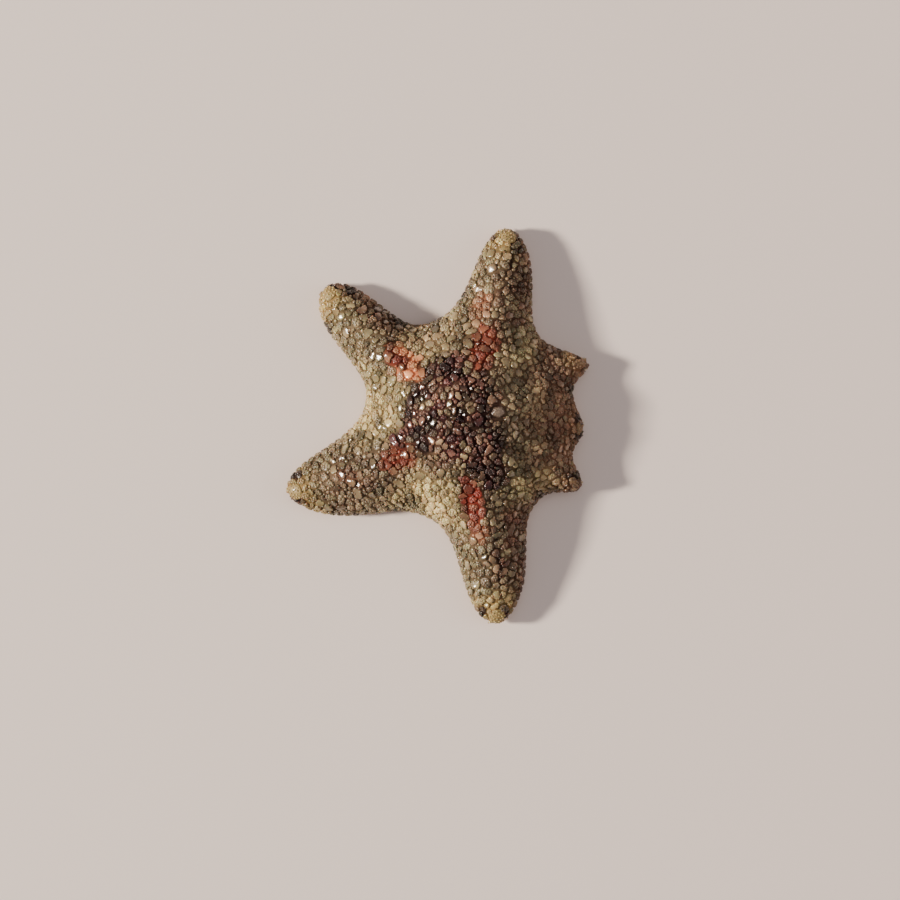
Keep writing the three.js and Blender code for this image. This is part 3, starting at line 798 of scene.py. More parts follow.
def margin_seeds(height, shift):
    """Seeds along the rim, at a share of its height, clear of the plates at the tips."""
    rim = trace_rim(MARGIN_PITCH)
    if shift:
        rim = (rim + np.roll(rim, -1, axis=0)) / 2
    x, y = rim.T
    lift = form_at(x, y)[2]
    points = np.column_stack([x, y, lerp(RIM_UNDERCUT, RIM_TOP, height) + lift])
    sector, along, _ = ray_coordinates(x, y)
    return skin.snap(points[along < TIP_STARTS[sector] + 0.13])[0]


def tip_seeds():
    """One seed on the ridge at each tip."""
    points = []
    for index in range(len(RAYS)):
        x, y = ray_point(index, lerp(TIP_STARTS[index], TIPS[index], 0.5), 0.0)
        points.append((x, y, upper_height(x, y)))
    return skin.snap(np.array(points))[0]


def sieve_seed():
    """The place of the madreporite."""
    x, y = SIEVE_DISTANCE * math.cos(WEBS[SIEVE_WEB]), SIEVE_DISTANCE * math.sin(WEBS[SIEVE_WEB])
    return skin.snap(np.array([[x, y, upper_height(x, y)]]))[0]


def on_floor(index, along, across, greatest_edge):
    """Places on the floor under a ray, of those within its sector and clear of its rim."""
    x, y = ray_point(index, along, across)
    inside = (form_at(x, y)[0] < greatest_edge) & (sector_of(x, y) == index)
    return np.column_stack([x, y, np.zeros_like(x)])[inside]


def bank_seeds():
    """Seeds of the plates along both banks of the furrows."""
    points = []
    for index, ray in enumerate(RAYS):
        along = np.arange(0.78, TIPS[index] - 0.2, BANK_PITCH if ray.grown else SMALL_BANK_PITCH)
        for side in (-1, 1):
            half = furrow_half(np.full(len(along), index), along, side) + BANK_OFFSET
            points.append(on_floor(index, along, side * half, 0.8))
    points = np.concatenate(points)
    points = points[np.argsort(-np.hypot(points[:, 0], points[:, 1]))]
    seeds = skin.snap(points)[0]
    return seeds[spaced(seeds, [], np.full(len(seeds), 0.13))]


def jaw_seeds():
    """Two seeds for each jaw, side by side between neighbouring furrows."""
    points = []
    for web in WEBS:
        for offset in (-JAW_OFFSET, JAW_OFFSET):
            x = JAW_RADIUS * math.cos(web) - offset * math.sin(web)
            points.append((x, JAW_RADIUS * math.sin(web) + offset * math.cos(web), 0.0))
    return skin.snap(np.array(points))[0]


def under_seeds(fixed):
    """Plates between the furrows and the margin, in rows beside the furrows."""
    found = []
    for index, tip in enumerate(TIPS):
        for row in range(1, 9):
            along = np.arange(0.8 + 0.1 * (row % 2), tip, UNDER_PITCH)
            for side in (-1, 1):
                half = furrow_half(np.full(len(along), index), along, side)
                found.append(on_floor(index, along, side * (half + 0.1 + row * 0.19), 0.95))
    seeds = skin.snap(np.concatenate(found))[0]
    seeds = seeds[spaced(seeds, fixed, np.full(len(seeds), 0.8 * UNDER_PITCH))]
    cloud = skin.scatter(faces_down, 16000)
    cloud = cloud[cloud[:, 2] < COAT + RIM_UNDERCUT + TIP_LIFT]
    tries = cloud[:5000]
    distance = np.full(len(tries), 0.86 * UNDER_PITCH)
    more = tries[spaced(tries, np.vstack([fixed, seeds]), distance)]
    return settle(np.vstack([seeds, more]), fixed, cloud, 2, 0.7)


def gather_plates():
    """Places and kinds of all the plates."""
    fixed = [
        (MARGIN, margin_seeds(0.86, False)),
        (FRINGE, margin_seeds(0.2, True)),
        (TIP, tip_seeds()),
        (SIEVE, sieve_seed()),
    ]
    ring = [(0.1 * math.cos(t), 0.1 * math.sin(t), 0) for t in np.linspace(0, 6.283, 9)]
    shields = [points + np.array(offset) for _, points in fixed[2:] for offset in ring]
    back = back_seeds(np.vstack([fixed[0][1], fixed[1][1]] + shields))
    banks, jaws = bank_seeds(), jaw_seeds()
    banks = banks[spaced(banks, jaws, np.full(len(banks), 0.12))]
    under = under_seeds(np.vstack([fixed[1][1], fixed[2][1], banks, jaws]))
    groups = fixed + [(BACK, back), (BANK, banks), (JAW, jaws), (UNDER, under)]
    points = np.vstack([points for _, points in groups])
    kinds = np.concatenate([np.full(len(points), kind) for kind, points in groups])
    return points, kinds


# ---- Outlines of the plates -----------------------------------------------------------------

# Of each kind of plate: its size against its neighbours', and the most that it reaches.
SIZES = {
    BACK: 1.0, MARGIN: 1.1, FRINGE: 1.0, UNDER: 1.0, BANK: 0.95, JAW: 0.9, TIP: 2.6, SIEVE: 2.3,
}
GREATEST = {
    BACK: 0.18, MARGIN: 0.14, FRINGE: 0.13, UNDER: 0.14, BANK: 0.12, JAW: 0.13, TIP: 0.15,
    SIEVE: 0.15,
}
NEIGHBOURS = 14  # of a plate, that its outline keeps clear of; the first found is itself
COLUMNS = 16  # points of an outline
MEAN_TONE = 0.47


class Plates:
    """Places, frames and outlines of all the plates, in arrays. free points to the side of a
    plate that lies on its neighbour, as shares of its inward and sideways directions."""

    def __init__(self, points, kinds):
        self.points, self.normals = skin.snap(points)
        self.kinds = kinds
        count = len(kinds)
        x, y = self.points[:, 0], self.points[:, 1]
        self.sector, self.along, self.across = ray_coordinates(x, y)
        heading = heading_at(self.sector, np.hypot(x, y))
        inward = -np.column_stack([np.cos(heading), np.sin(heading), np.zeros(count)])
        loose = smooth((CENTRE_REACH - np.hypot(x, y)) / 0.5) * RNG.normal(0, 1.2, count)
        inward = turn_about_z(inward, loose)
        facing = np.sum(inward * self.normals, axis=1, keepdims=True)
        self.inward = unit(inward - self.normals * facing)
        self.sideways = np.cross(self.normals, self.inward)
        change = np.where(kinds == BACK, 0.42, 0.1) * RNG.uniform(-1, 1, count)
        self.size = np.array([SIZES[kind] for kind in kinds]) * (1 + change)
        self.tone = np.clip(RNG.normal(MEAN_TONE, 0.17, count), 0, 1)
        self.hue = RNG.random(count)
        self.bare = (kinds == BACK) & (RNG.random(count) < BARE_SHARE)
        self.gloss = np.where(self.bare, RNG.uniform(0.8, 1, count), 0.15)
        lean = RNG.normal(0, 0.9, count)
        self.free = np.stack([np.cos(lean), np.sin(lean)], axis=1)
        self.turns = np.linspace(0, 2 * np.pi, COLUMNS, endpoint=False)
        self.pigments = self.pigment()
        # Tone varies less where the umber paints shade.
        spread = 0.8 + 0.7 * self.pigments["maroon"] - 0.3 * self.pigments["umber_and_shade"]
        self.tone = np.clip(MEAN_TONE + (self.tone - MEAN_TONE) * spread, 0, 1)
        outlines = self.outlines()
        self.bay = RNG.normal(0, 0.8, count)
        depth = np.where(RNG.random(count) < 0.75, RNG.uniform(0.12, 0.42, count), 0)
        self.bay_depth = depth * (kinds == BACK)
        self.reach = outlines * self.notches()
        self.roots = unwrap(self.points, np.isin(kinds, (UNDER, BANK, JAW, FRINGE)))

    def pigment(self):
        """The markings at each plate, with the dark spots of the margin and the pale sole."""
        pigments = markings(self.points[:, 0], self.points[:, 1])
        pigments["red"] *= RNG.uniform(0.7, 1, len(self.kinds))
        least = lerp(0.3, 0.85, smooth((self.points[:, 0] - 0.35) / 0.5))
        pigments["maroon"] *= np.where(RNG.random(len(self.kinds)) < PALE_SHARE, least, 1)
        chance = (self.kinds == MARGIN) & (RNG.random(len(self.kinds)) < 0.12)
        pigments["spot_and_seam_shade"] = np.maximum(pigments["spot_and_seam_shade"], 0.7 * chance)
        pigments["rust"] *= 0.35
        below = np.isin(self.kinds, (UNDER, BANK, JAW)) + 0.55 * (self.kinds == FRINGE)
        pigments["clump_and_shade"] = lerp(pigments["clump_and_shade"], 0.6, 0.7 * np.minimum(below, 1))
        return {**pigments, "under": below}

    def shades(self, chosen):
        """Pigments of the chosen plates, as columns that spread over the points of their forms."""
        shades = {**self.pigments, "tone": self.tone, "hue": self.hue, "gloss": self.gloss}
        return {name: value[chosen][:, None] for name, value in shades.items()}

    def outlines(self):
        """Reach of each plate by direction: its share of the way to the plates around it."""
        tree = tree_of(self.points)
        near = [[hit[1] for hit in tree.find_n(p, NEIGHBOURS)] for p in self.points.tolist()]
        near = np.array(near)[:, 1:]
        away = self.points[near] - self.points[:, None]
        length = np.linalg.norm(away, axis=2)
        side = np.einsum("nkc,nc->nk", away, self.sideways)
        front = np.einsum("nkc,nc->nk", away, self.inward)
        direction = np.arctan2(side, front)
        share = self.size[:, None] / (self.size[:, None] + self.size[near])
        share = np.clip(share, 0.2, 0.8)
        dark = 0.45 * self.pigments["maroon"] + 0.35 * self.pigments["brown_and_shade"]
        dark = dark * (self.kinds == BACK)
        gap = (PLATE_GAP * RNG.uniform(0.55, 1.5, len(self.points)) * (1 + dark))[:, None]
        reach = np.maximum(length * share - gap / 2, 0.03)
        across_body = np.einsum("nkc,nc->nk", self.normals[near], self.normals) < -0.3
        reach = np.where(across_body, 9.0, reach)
        facing = np.maximum(0, np.cos(self.turns[None, None] - direction[..., None]))
        total = ((facing / reach[..., None]) ** PLATE_CORNER).sum(axis=1)
        radius = np.maximum(total, 1e-9) ** (-1 / PLATE_CORNER)
        most = np.array([GREATEST[kind] for kind in self.kinds])[:, None]
        return (radius**-6.0 + (most * self.size[:, None]) ** -6.0) ** (-1 / 6)

    def notches(self):
        """A bay in the side of some plates, where a gill comes through, and uneven edges."""
        count = len(self.kinds)
        turn = wrap(self.turns[None] - self.bay[:, None])
        bay = 1 - self.bay_depth[:, None] * np.exp(-((turn / 0.62) ** 2))
        long = RNG.uniform(0, 0.36, count) * (self.kinds == BACK)
        axis = math.pi / 2 + RNG.normal(0, 0.7, count)
        stretch = 1 + long[:, None] * np.cos(2 * (self.turns[None] - axis[:, None]))
        return bay * stretch * (1 + RNG.normal(0, 0.04, (count, COLUMNS)))


def turn_about_z(vectors, angle):
    x, y, z = vectors.T
    cos, sin = np.cos(angle), np.sin(angle)
    return np.column_stack([x * cos - y * sin, x * sin + y * cos, z])


# ---- Meshes ---------------------------------------------------------------------------------


class Bundle:
    """Points and faces of many small closed forms, gathered for one mesh."""

    def __init__(self):
        self.points, self.corners, self.sizes = [], [], []
        self.shades = {}
        self.uvs = []
        self.count = 0

    def add(self, points, faces, uvs, shades):
        """points is (forms, points, 3); faces lists the corners of one form's faces."""
        forms, size = points.shape[:2]
        starts = self.count + size * np.arange(forms)
        flat = np.concatenate([np.asarray(face) for face in faces])
        self.points.append(points.reshape(-1, 3))
        self.corners.append((starts[:, None] + flat[None]).ravel())
        self.sizes.append(np.tile([len(face) for face in faces], forms))
        self.uvs.append(uvs.reshape(-1, 2))
        for name, value in shades.items():
            self.shades.setdefault(name, []).append(np.broadcast_to(value, (forms, size)).ravel())
        self.count += forms * size

    def piece(self, name, material, slot):
        points = to_frame(np.concatenate(self.points))
        points[:, 2] = np.maximum(points[:, 2], 0.002 * MM)
        shades = {key: np.concatenate(value) for key, value in self.shades.items()}
        return make_piece(
            name, points, np.concatenate(self.corners), np.concatenate(self.sizes),
            material, shades, np.concatenate(self.uvs),
        )


def make_piece(name, points, corners, sizes, material, shades, uvs):
    """An object of the frame from points in metres and faces in flat lists. uvs has a row for
    each point, or for each corner."""
    mesh = bpy.data.meshes.new(name)
    mesh.vertices.add(len(points))
    mesh.vertices.foreach_set("co", points.astype(np.float32).ravel())
    mesh.loops.add(len(corners))
    mesh.loops.foreach_set("vertex_index", corners.astype(np.int32))
    mesh.polygons.add(len(sizes))
    starts = np.concatenate([[0], np.cumsum(sizes)[:-1]])
    mesh.polygons.foreach_set("loop_start", starts.astype(np.int32))
    mesh.polygons.foreach_set("use_smooth", np.ones(len(sizes), bool))
    mesh.update(calc_edges=True)
    mesh.validate()
    for key, value in shades.items():
        layer = mesh.attributes.new(key, "FLOAT", "POINT")
        layer.data.foreach_set("value", value.astype(np.float32))
    layer = mesh.uv_layers.new(name="OFBake")
    spread = uvs[corners] if len(uvs) == len(points) else uvs
    layer.data.foreach_set("uv", spread.astype(np.float32).ravel())
    mesh.materials.append(material)
    piece = bpy.data.objects.new(name, mesh)
    bpy.context.scene.collection.objects.link(piece)
    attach(piece, "root")
    return piece


def ring_faces(rings, columns):
    """Faces of a closed form: rings from foot to top, then one point at the top."""
    faces = [list(range(columns))[::-1]]
    for ring in range(rings - 1):
        for column in range(columns):
            after = (column + 1) % columns
            low, high = ring * columns, (ring + 1) * columns
            faces.append([low + column, low + after, high + after, high + column])
    last = (rings - 1) * columns
    top = rings * columns
    for column in range(columns):
        faces.append([last + column, last + (column + 1) % columns, top])
    return faces


# Rings of a plate, from foot to crown: share of its reach and share of its rise.
PLATE_RINGS = [(0.95, -0.35), (1.0, 0.16), (0.87, 0.6), (0.62, 0.88), (0.3, 1.0)]
BARE_RINGS = [(0.95, -0.35), (1.0, 0.4), (0.92, 0.82), (0.76, 0.96), (0.4, 1.0)]
TIP_RINGS = [(1.0, -0.6), (1.0, 0.3), (0.93, 0.66), (0.8, 0.84), (0.6, 0.94), (0.3, 1.0)]


def plate_forms(plates, chosen, rise, tilt, profile):
    """Points of domed plates, (plates, points, 3), their heights as shares, and their edges.

    tilt holds how far each plate rises towards the centre and to its side, as shares."""
    centre, normal = plates.points[chosen], plates.normals[chosen]
    circle = np.stack([np.cos(plates.turns), np.sin(plates.turns)])
    flat = (
        circle[0][None, :, None] * plates.inward[chosen][:, None]
        + circle[1][None, :, None] * plates.sideways[chosen][:, None]
    )
    foot, foot_normal = skin.snap(centre[:, None] + flat * plates.reach[chosen][..., None])
    slope = tilt @ circle
    rings, heights = [], []
    for share, height in profile:
        up = unit(lerp(normal[:, None], foot_normal, 0.6 * share))
        lift = rise[:, None] * (height + slope * share * max(height, 0))
        rings.append(lerp(centre[:, None], foot, share) + up * lift[..., None])
        heights.append(np.full(COLUMNS, max(height, 0.0)))
    rings.append((centre + normal * rise[:, None])[:, None])
    heights.append(np.ones(1))
    return np.concatenate(rings, axis=1), np.concatenate(heights), foot


def add_plates(bundle, plates, chosen, rise, granules=0, tilt=None, bare=False, seat=1.0):
    """Domed plates, each with its granules. These sit on the plate as if seat times as high."""
    tilt = np.zeros((len(chosen), 2)) if tilt is None else tilt
    rise = np.broadcast_to(rise, len(chosen))
    profile = BARE_RINGS if bare else PLATE_RINGS
    points, heights, foot = plate_forms(plates, chosen, rise, tilt, profile)
    circle = np.stack([np.cos(plates.turns), np.sin(plates.turns)], axis=1)
    local = np.vstack([share * circle for share, _ in profile] + [np.zeros((1, 2))])
    uvs = plates.roots[chosen][:, None] + local[None] * TUFT_PATCH / 2
    shades = {"height": heights[None], "grade": 0.5 + 0.5 * plates.free[chosen] @ local.T}
    faces = ring_faces(len(profile), COLUMNS)
    bundle.add(points, faces, uvs, {**plates.shades(chosen), **shades})
    if granules:
        add_granules(bundle, plates, chosen, foot, rise * seat, tilt, granules, bare)


def add_pegs(bundle, base, direction, length, radius, profile, columns, uvs, shades, patch):
    """Round pegs: granules, small plates, spines, gills and tube feet. patch is the width of
    each on the map."""
    turns = np.linspace(0, 2 * np.pi, columns, endpoint=False)
    cos, sin = np.cos(turns), np.sin(turns)
    aside = unit(np.cross(direction, np.array([0.31, 0.87, 0.39])))
    third = np.cross(direction, aside)
    circle = cos[None, :, None] * aside[:, None] + sin[None, :, None] * third[:, None]
    rings, heights = [], []
    for width, height in profile[:-1]:
        middle = base + direction * (length * height)[:, None]
        rings.append(middle[:, None] + circle * (radius * width)[:, None, None])
        heights.append(np.full(columns, max(height, 0.0)))
    rings.append((base + direction * (length * profile[-1][1])[:, None])[:, None])
    points = np.concatenate(rings, axis=1)
    heights = 0.6 + 0.4 * np.concatenate(heights + [np.ones(1)])
    widths = np.linspace(patch / 2, 0, len(profile))
    local = np.stack([np.outer(widths, cos), np.outer(widths, sin)], axis=2)
    local = local.reshape(-1, 2)[: points.shape[1]]
    bundle.add(
        points, ring_faces(len(profile) - 1, columns), uvs[:, None] + local[None],
        {**shades, "height": heights[None]},
    )


def add_pegs_on(bundle, plates, owner, base, direction, length, radius, profile, columns, own=None):
    """Pegs that belong to plates, and share their patch of the map and most of their shades."""
    away = base - plates.points[owner]
    local = np.stack([
        np.sum(away * plates.inward[owner], axis=1),
        np.sum(away * plates.sideways[owner], axis=1),
    ], axis=1) / plates.reach[owner].mean(axis=1)[:, None]
    uvs = plates.roots[owner] + np.clip(local, -1, 1) * TUFT_PATCH / 2
    shades = plates.shades(owner)
    grade = 0.5 + 0.5 * np.sum(plates.free[owner] * local, axis=1)
    for name, value in {"grade": grade, **(own or {})}.items():
        shades[name] = np.clip(value, 0, 1)[:, None]
    add_pegs(bundle, base, direction, length, radius, profile, columns, uvs, shades, TUFT_PATCH / 6)


# Rings of the pegs, from foot to tip: share of the radius and share of the length.
GILL = [(0.8, -0.2), (1.0, 0.35), (0.85, 0.75), (0.45, 0.96), (0.0, 1.0)]
GRANULE = [(0.9, -0.5), (1.0, 0.4), (0.68, 0.86), (0.0, 1.0)]
FILLER = [(0.95, -0.35), (1.0, 0.3), (0.86, 0.7), (0.55, 0.93), (0.0, 1.0)]
SPINELET = [(0.8, -0.15), (1.0, 0.3), (0.85, 0.75), (0.45, 0.97), (0.0, 1.0)]
TUBE_FOOT = [
    (0.8, -0.25), (1.0, 0.05), (0.86, 0.25), (0.94, 0.4), (0.8, 0.6), (0.84, 0.8), (1.15, 0.9),
    (1.22, 0.96), (0.9, 1.0), (0.35, 0.97), (0.0, 0.95),
]


def vary(size, least, most, count):
    """As many sizes, each between two shares of the one given."""
    return size * RNG.uniform(least, most, count)


def add_granules(bundle, plates, chosen, foot, rise, tilt, many, bare):
    """Granules on each plate: in a ring round a bare crown, or in a spiral all over it."""
    plate, number = np.divmod(np.arange(len(chosen) * many), many)
    reach = plates.reach[chosen].mean(axis=1)
    share = np.full(len(plate), 0.9) if bare else np.sqrt((number + 0.55) / many) * 0.88
    turn = number * (2 * np.pi / many if bare else GOLDEN_TURN)
    turn = turn + RNG.uniform(0, 6.28, len(chosen))[plate] + RNG.normal(0, 0.12, len(turn))
    column = (turn / (2 * np.pi) * COLUMNS) % COLUMNS
    low = np.floor(column).astype(int) % COLUMNS
    part = (column - np.floor(column))[:, None]
    edge = lerp(foot[plate, low], foot[plate, (low + 1) % COLUMNS], part)
    centre, normal = plates.points[chosen][plate], plates.normals[chosen][plate]
    outward = unit(edge - centre)
    rings = [(0.0, 1.0)] + (BARE_RINGS if bare else PLATE_RINGS)[:0:-1]
    height = np.interp(share, *zip(*rings))
    slope = tilt[plate, 0] * np.cos(turn) + tilt[plate, 1] * np.sin(turn)
    height = height * (1 + slope * share)
    base = lerp(centre, edge, share[:, None]) + normal * (rise[plate] * height)[:, None]
    direction = unit(normal + outward * (0.75 * share**2)[:, None])
    radius = reach[plate] * GRANULE_WIDTH * (0.8 if bare else math.sqrt(GRANULES / many))
    radius = vary(radius, 0.72, 1.12, len(plate))
    length = vary(COAT - PLATE_RISE, 0.5, 1.0, len(plate)) * (0.6 if bare else 1)
    owner = chosen[plate]
    own = {
        "tone": plates.tone[owner] + RNG.normal(0, 0.06, len(plate)),
        "gloss": np.where(RNG.random(len(plate)) < 0.25, RNG.uniform(0.5, 1, len(plate)), 0.2),
    }
    add_pegs_on(bundle, plates, owner, base, direction, length, radius, GRANULE, 6, own)


# ---- Colours and materials ------------------------------------------------------------------


def colour(red, green, blue):
    """A colour given by its sRGB values, 0 to 255."""
    def linear(value):
        share = value / 255
        return share / 12.92 if share <= 0.04045 else ((share + 0.055) / 1.055) ** 2.4
    return (linear(red), linear(green), linear(blue), 1.0)


class Graph:
    """A material's nodes, added one at a time and joined as they are made. Scales are in cells
    to the metre, and distances of the bump in metres."""

    def __init__(self, name):
        self.material = bpy.data.materials.new(name)
        self.material.use_nodes = True
        self.tree = self.material.node_tree
        self.tree.nodes.clear()
        self.shader = self.tree.nodes.new("ShaderNodeBsdfPrincipled")
        output = self.tree.nodes.new("ShaderNodeOutputMaterial")
        self.tree.links.new(self.shader.outputs["BSDF"], output.inputs["Surface"])
        self.place = self.tree.nodes.new("ShaderNodeTexCoord").outputs["Object"]

    def put(self, value, socket):
        if isinstance(value, bpy.types.NodeSocket):
            self.tree.links.new(value, socket)
        else:
            socket.default_value = value

    def node(self, kind, given, output=0, **settings):
        """A new node of a kind, with what its inputs are given, and one of its outputs."""
        node = self.tree.nodes.new("ShaderNode" + kind)
        for name, value in settings.items():
            setattr(node, name, value)
        for key, value in given.items():
            self.put(value, node.inputs[key])
        return node.outputs[output]

    def shade(self, name):
        """A value that the mesh carries at each point."""
        return self.node("Attribute", {}, "Fac", attribute_name=name)

    def math(self, operation, first, second):
        return self.node("Math", {0: first, 1: second}, operation=operation)

    def mix(self, share, first, second, blend="MIX"):
        given = {0: share, 6: first, 7: second}
        return self.node("Mix", given, 2, data_type="RGBA", blend_type=blend)

    def toned(self, base, value):
        """A colour made darker or lighter by a value."""
        grey = self.node("CombineColor", {0: value, 1: value, 2: value})
        return self.mix(1.0, base, grey, "MULTIPLY")

    def fit(self, value, low, high, to_low, to_high):
        """A value brought from one range to another."""
        return self.node("MapRange", dict(enumerate((value, low, high, to_low, to_high))))

    def noise(self, scale, detail=3.0):
        given = {"Vector": self.place, "Scale": scale, "Detail": detail, "Roughness": 0.55}
        return self.node("TexNoise", given, "Fac")

    def cloud(self, scale, low, high, margin=0.3):
        """Noise that spreads from low to high; the wider the margin, the harder its edges."""
        return self.fit(self.noise(scale), margin, 1 - margin, low, high)

    def cells(self, scale):
        return self.node("TexVoronoi", {"Vector": self.place, "Scale": scale}, "Distance")

    def bump(self, height, distance, strength=1.0):
        given = {"Strength": strength, "Distance": distance, "Height": height}
        return self.node("Bump", given, "Normal")

    def pigmented(self, colours):
        """The ground colour with the markings laid over it."""
        base = colours["ground"]
        for name in list(colours)[1:]:
            base = self.mix(self.shade(name), base, colours[name])
        return base

    def finish(self, base, roughness, normal=None, **constants):
        self.put(base, self.shader.inputs["Base Color"])
        self.put(roughness, self.shader.inputs["Roughness"])
        if normal is not None:
            self.put(normal, self.shader.inputs["Normal"])
        for name, value in constants.items():
            socket = name.replace("_", " ").title().replace("Ior", "IOR")
            self.shader.inputs[socket].default_value = value
        return self.material


WET = {"coat_weight": 0.5, "coat_roughness": 0.15}
DAMP = {"coat_weight": 0.25, "coat_roughness": 0.14}

# Colours of the pigments in the skin and in the plates; each is laid over those before it.
# The brown, umber and spot colours also paint shade, and the orange also paints light, where their
# shares say so.
SKIN_COLOURS = {
    "ground": colour(98, 79, 60), "olive": colour(106, 91, 65), "pale": colour(156, 134, 92),
    "honey": colour(148, 118, 70), "brown_and_shade": colour(70, 45, 34), "umber_and_shade": colour(106, 70, 56),
    "rust": colour(112, 74, 46), "maroon": colour(52, 26, 24), "red": colour(104, 35, 25),
    "orange": colour(196, 116, 78), "spot_and_seam_shade": colour(42, 27, 20), "under": colour(176, 146, 112),
}
PLATE_COLOURS = {
    "ground": colour(135, 117, 88), "olive": colour(155, 142, 101), "pale": colour(202, 181, 124),
    "honey": colour(178, 153, 93), "brown_and_shade": colour(102, 69, 53), "umber_and_shade": colour(114, 71, 58),
    "rust": colour(142, 102, 66), "maroon": colour(102, 59, 54), "red": colour(144, 55, 39),
    "orange": colour(238, 168, 116), "spot_and_seam_shade": colour(50, 34, 26), "under": colour(214, 198, 166),
}


def plate_material():
    """Wet calcite. The lower part and the bound side of a plate fade into the skin's colours."""
    graph = Graph("plate_calcite")
    base = graph.pigmented(PLATE_COLOURS)
    warm = graph.mix(graph.fit(graph.shade("hue"), 0.6, 1.0, 0, 0.32), base, colour(186, 146, 112))
    cool = graph.mix(graph.fit(graph.shade("hue"), 0.4, 0.0, 0, 0.45), warm, colour(136, 125, 88))
    value = graph.fit(graph.shade("tone"), 0, 1, 0.5, 1.6)
    speckle = graph.cloud(26000.0, 0.86, 1.14)
    # The clump share darkens and lightens groups of plates, and carries painted shade in the upper
    # web.
    clump_and_shade = graph.fit(graph.shade("clump_and_shade"), CLUMP_LOW, 1, 0.33, 1.45)
    lit = graph.toned(cool, graph.math("MULTIPLY", graph.math("MULTIPLY", value, speckle), clump_and_shade))
    foot = graph.fit(graph.shade("height"), 0.0, 0.6, 0.8, 0.0)
    bound = graph.fit(graph.shade("grade"), 0.15, 0.7, 0.75, 0.0)
    upper = graph.fit(graph.shade("under"), 0.0, 0.6, 1.0, 0.2)
    faded = graph.math("MAXIMUM", foot, graph.math("MULTIPLY", bound, upper))
    based = graph.mix(faded, lit, graph.toned(graph.pigmented(SKIN_COLOURS), clump_and_shade))
    worn = graph.cloud(9000.0, -0.05, 0.05)
    rough = graph.math("ADD", graph.fit(graph.shade("gloss"), 0.0, 1.0, 0.58, 0.13), worn)
    normal = graph.bump(graph.noise(60000.0, 4.0), 3e-6, 0.6)
    return graph.finish(
        based, rough, normal, subsurface_weight=0.2, subsurface_scale=8e-5,
        specular_ior_level=0.7, **DAMP,
    )


def tip_material():
    """Pale pitted calcite, with painted shade in its pits, and browner on the short rays, partly as
    painted shade.
    """
    graph = Graph("tip_calcite")
    clouded = graph.mix(graph.cloud(7000.0, 0, 1), colour(164, 140, 85), colour(134, 112, 68))
    # The short rays' tips are browner by umber, partly painted shade.
    base = graph.mix(graph.shade("umber_and_shade"), clouded, colour(112, 80, 62))
    # Painted shade: darker in the pits of the bump.
    pit_shade = graph.fit(graph.cells(24000.0), 0.0, 0.4, 0.85, 0.0)
    pitted = graph.mix(pit_shade, base, colour(100, 80, 52))
    rough = graph.cloud(9000.0, 0.45, 0.7)
    relief = graph.math("ADD", graph.cells(24000.0), graph.noise(30000.0))
    normal = graph.bump(relief, 1.2e-5, 0.9)
    return graph.finish(pitted, rough, normal, subsurface_weight=0.1, subsurface_scale=6e-5, **DAMP)


def sieve_material():
    """Calcite, darker where it lies low: painted shade in the grooves and on the bevel round its edge.
    """
    graph = Graph("sieve_calcite")
    # Painted shade: darker where the button lies low.
    groove_shade = graph.fit(graph.shade("height"), 0.5, 0.8, 1.0, 0.0)
    base = graph.mix(groove_shade, colour(150, 128, 108), colour(74, 52, 42))
    stained = graph.mix(graph.cloud(12000.0, 0.0, 0.5, 0.35), base, colour(126, 104, 82))
    normal = graph.bump(graph.noise(40000.0), 2e-6, 0.5)
    return graph.finish(stained, 0.3, normal, coat_weight=1.0, coat_roughness=0.1)


def soft_material(name, first, second):
    """Wet tissue that light enters: tube feet, paler at their suckers, and the mouth's ring."""
    graph = Graph(name)
    base = graph.mix(graph.cloud(9000.0, 0, 1), first, second)
    end = graph.mix(graph.fit(graph.shade("height"), 0.93, 0.99, 0, 0.6), base, colour(236, 214, 176))
    rings = graph.bump(graph.noise(30000.0), 6e-6, 0.8)
    return graph.finish(end, 0.3, rings, subsurface_weight=0.3, subsurface_scale=1.5e-4, **WET)


def gill_material():
    """The skin's colours, flushed."""
    graph = Graph("gill_skin")
    base = graph.mix(0.35, graph.pigmented(SKIN_COLOURS), colour(150, 104, 84))
    clouded = graph.mix(graph.cloud(20000.0, 0.0, 0.4), base, colour(70, 40, 34))
    normal = graph.bump(graph.noise(50000.0), 3e-6, 0.6)
    return graph.finish(clouded, 0.35, normal, subsurface_weight=0.25, subsurface_scale=5e-5, **DAMP)


def skin_material():
    """Dull wrinkled skin, so that it stays dark between the glossy plates."""
    graph = Graph("wet_skin")
    base = graph.pigmented(SKIN_COLOURS)
    # The clump share darkens and lightens groups of plates, and carries painted shade in the upper
    # web.
    base = graph.toned(base, graph.fit(graph.shade("clump_and_shade"), CLUMP_LOW, 1, 0.35, 1.5))
    mottled = graph.mix(graph.cloud(14000.0, 0.0, 0.35, 0.35), base, colour(40, 24, 18))
    rough = graph.cloud(12000.0, 0.55, 0.8)
    normal = graph.bump(graph.noise(40000.0, 4.0), 8e-6, 0.8)
    return graph.finish(mottled, rough, normal, specular_ior_level=0.08)


# ---- Pieces ---------------------------------------------------------------------------------


def make_skin(material):
    """The one skin of disc and rays."""
    points, faces = skin.points, skin.triangles
    shades = markings(points[:, 0], points[:, 1])
    shades["under"] = np.zeros(len(points))
    shades["under"][faces[faces_down].ravel()] = 1.0
    middle = points[faces].mean(axis=1)
    sector = np.repeat(sector_of(middle[:, 0], middle[:, 1]), 3)
    uvs = unwrap(points[faces.ravel()], np.repeat(faces_down, 3), sector)
    piece = make_piece(
        "skin", to_frame(points), faces.ravel(), np.full(len(faces), 3), material,
        shades, uvs,
    )
    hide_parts("disc", *[f"ray_{number + 1}" for number in range(len(RAYS))])


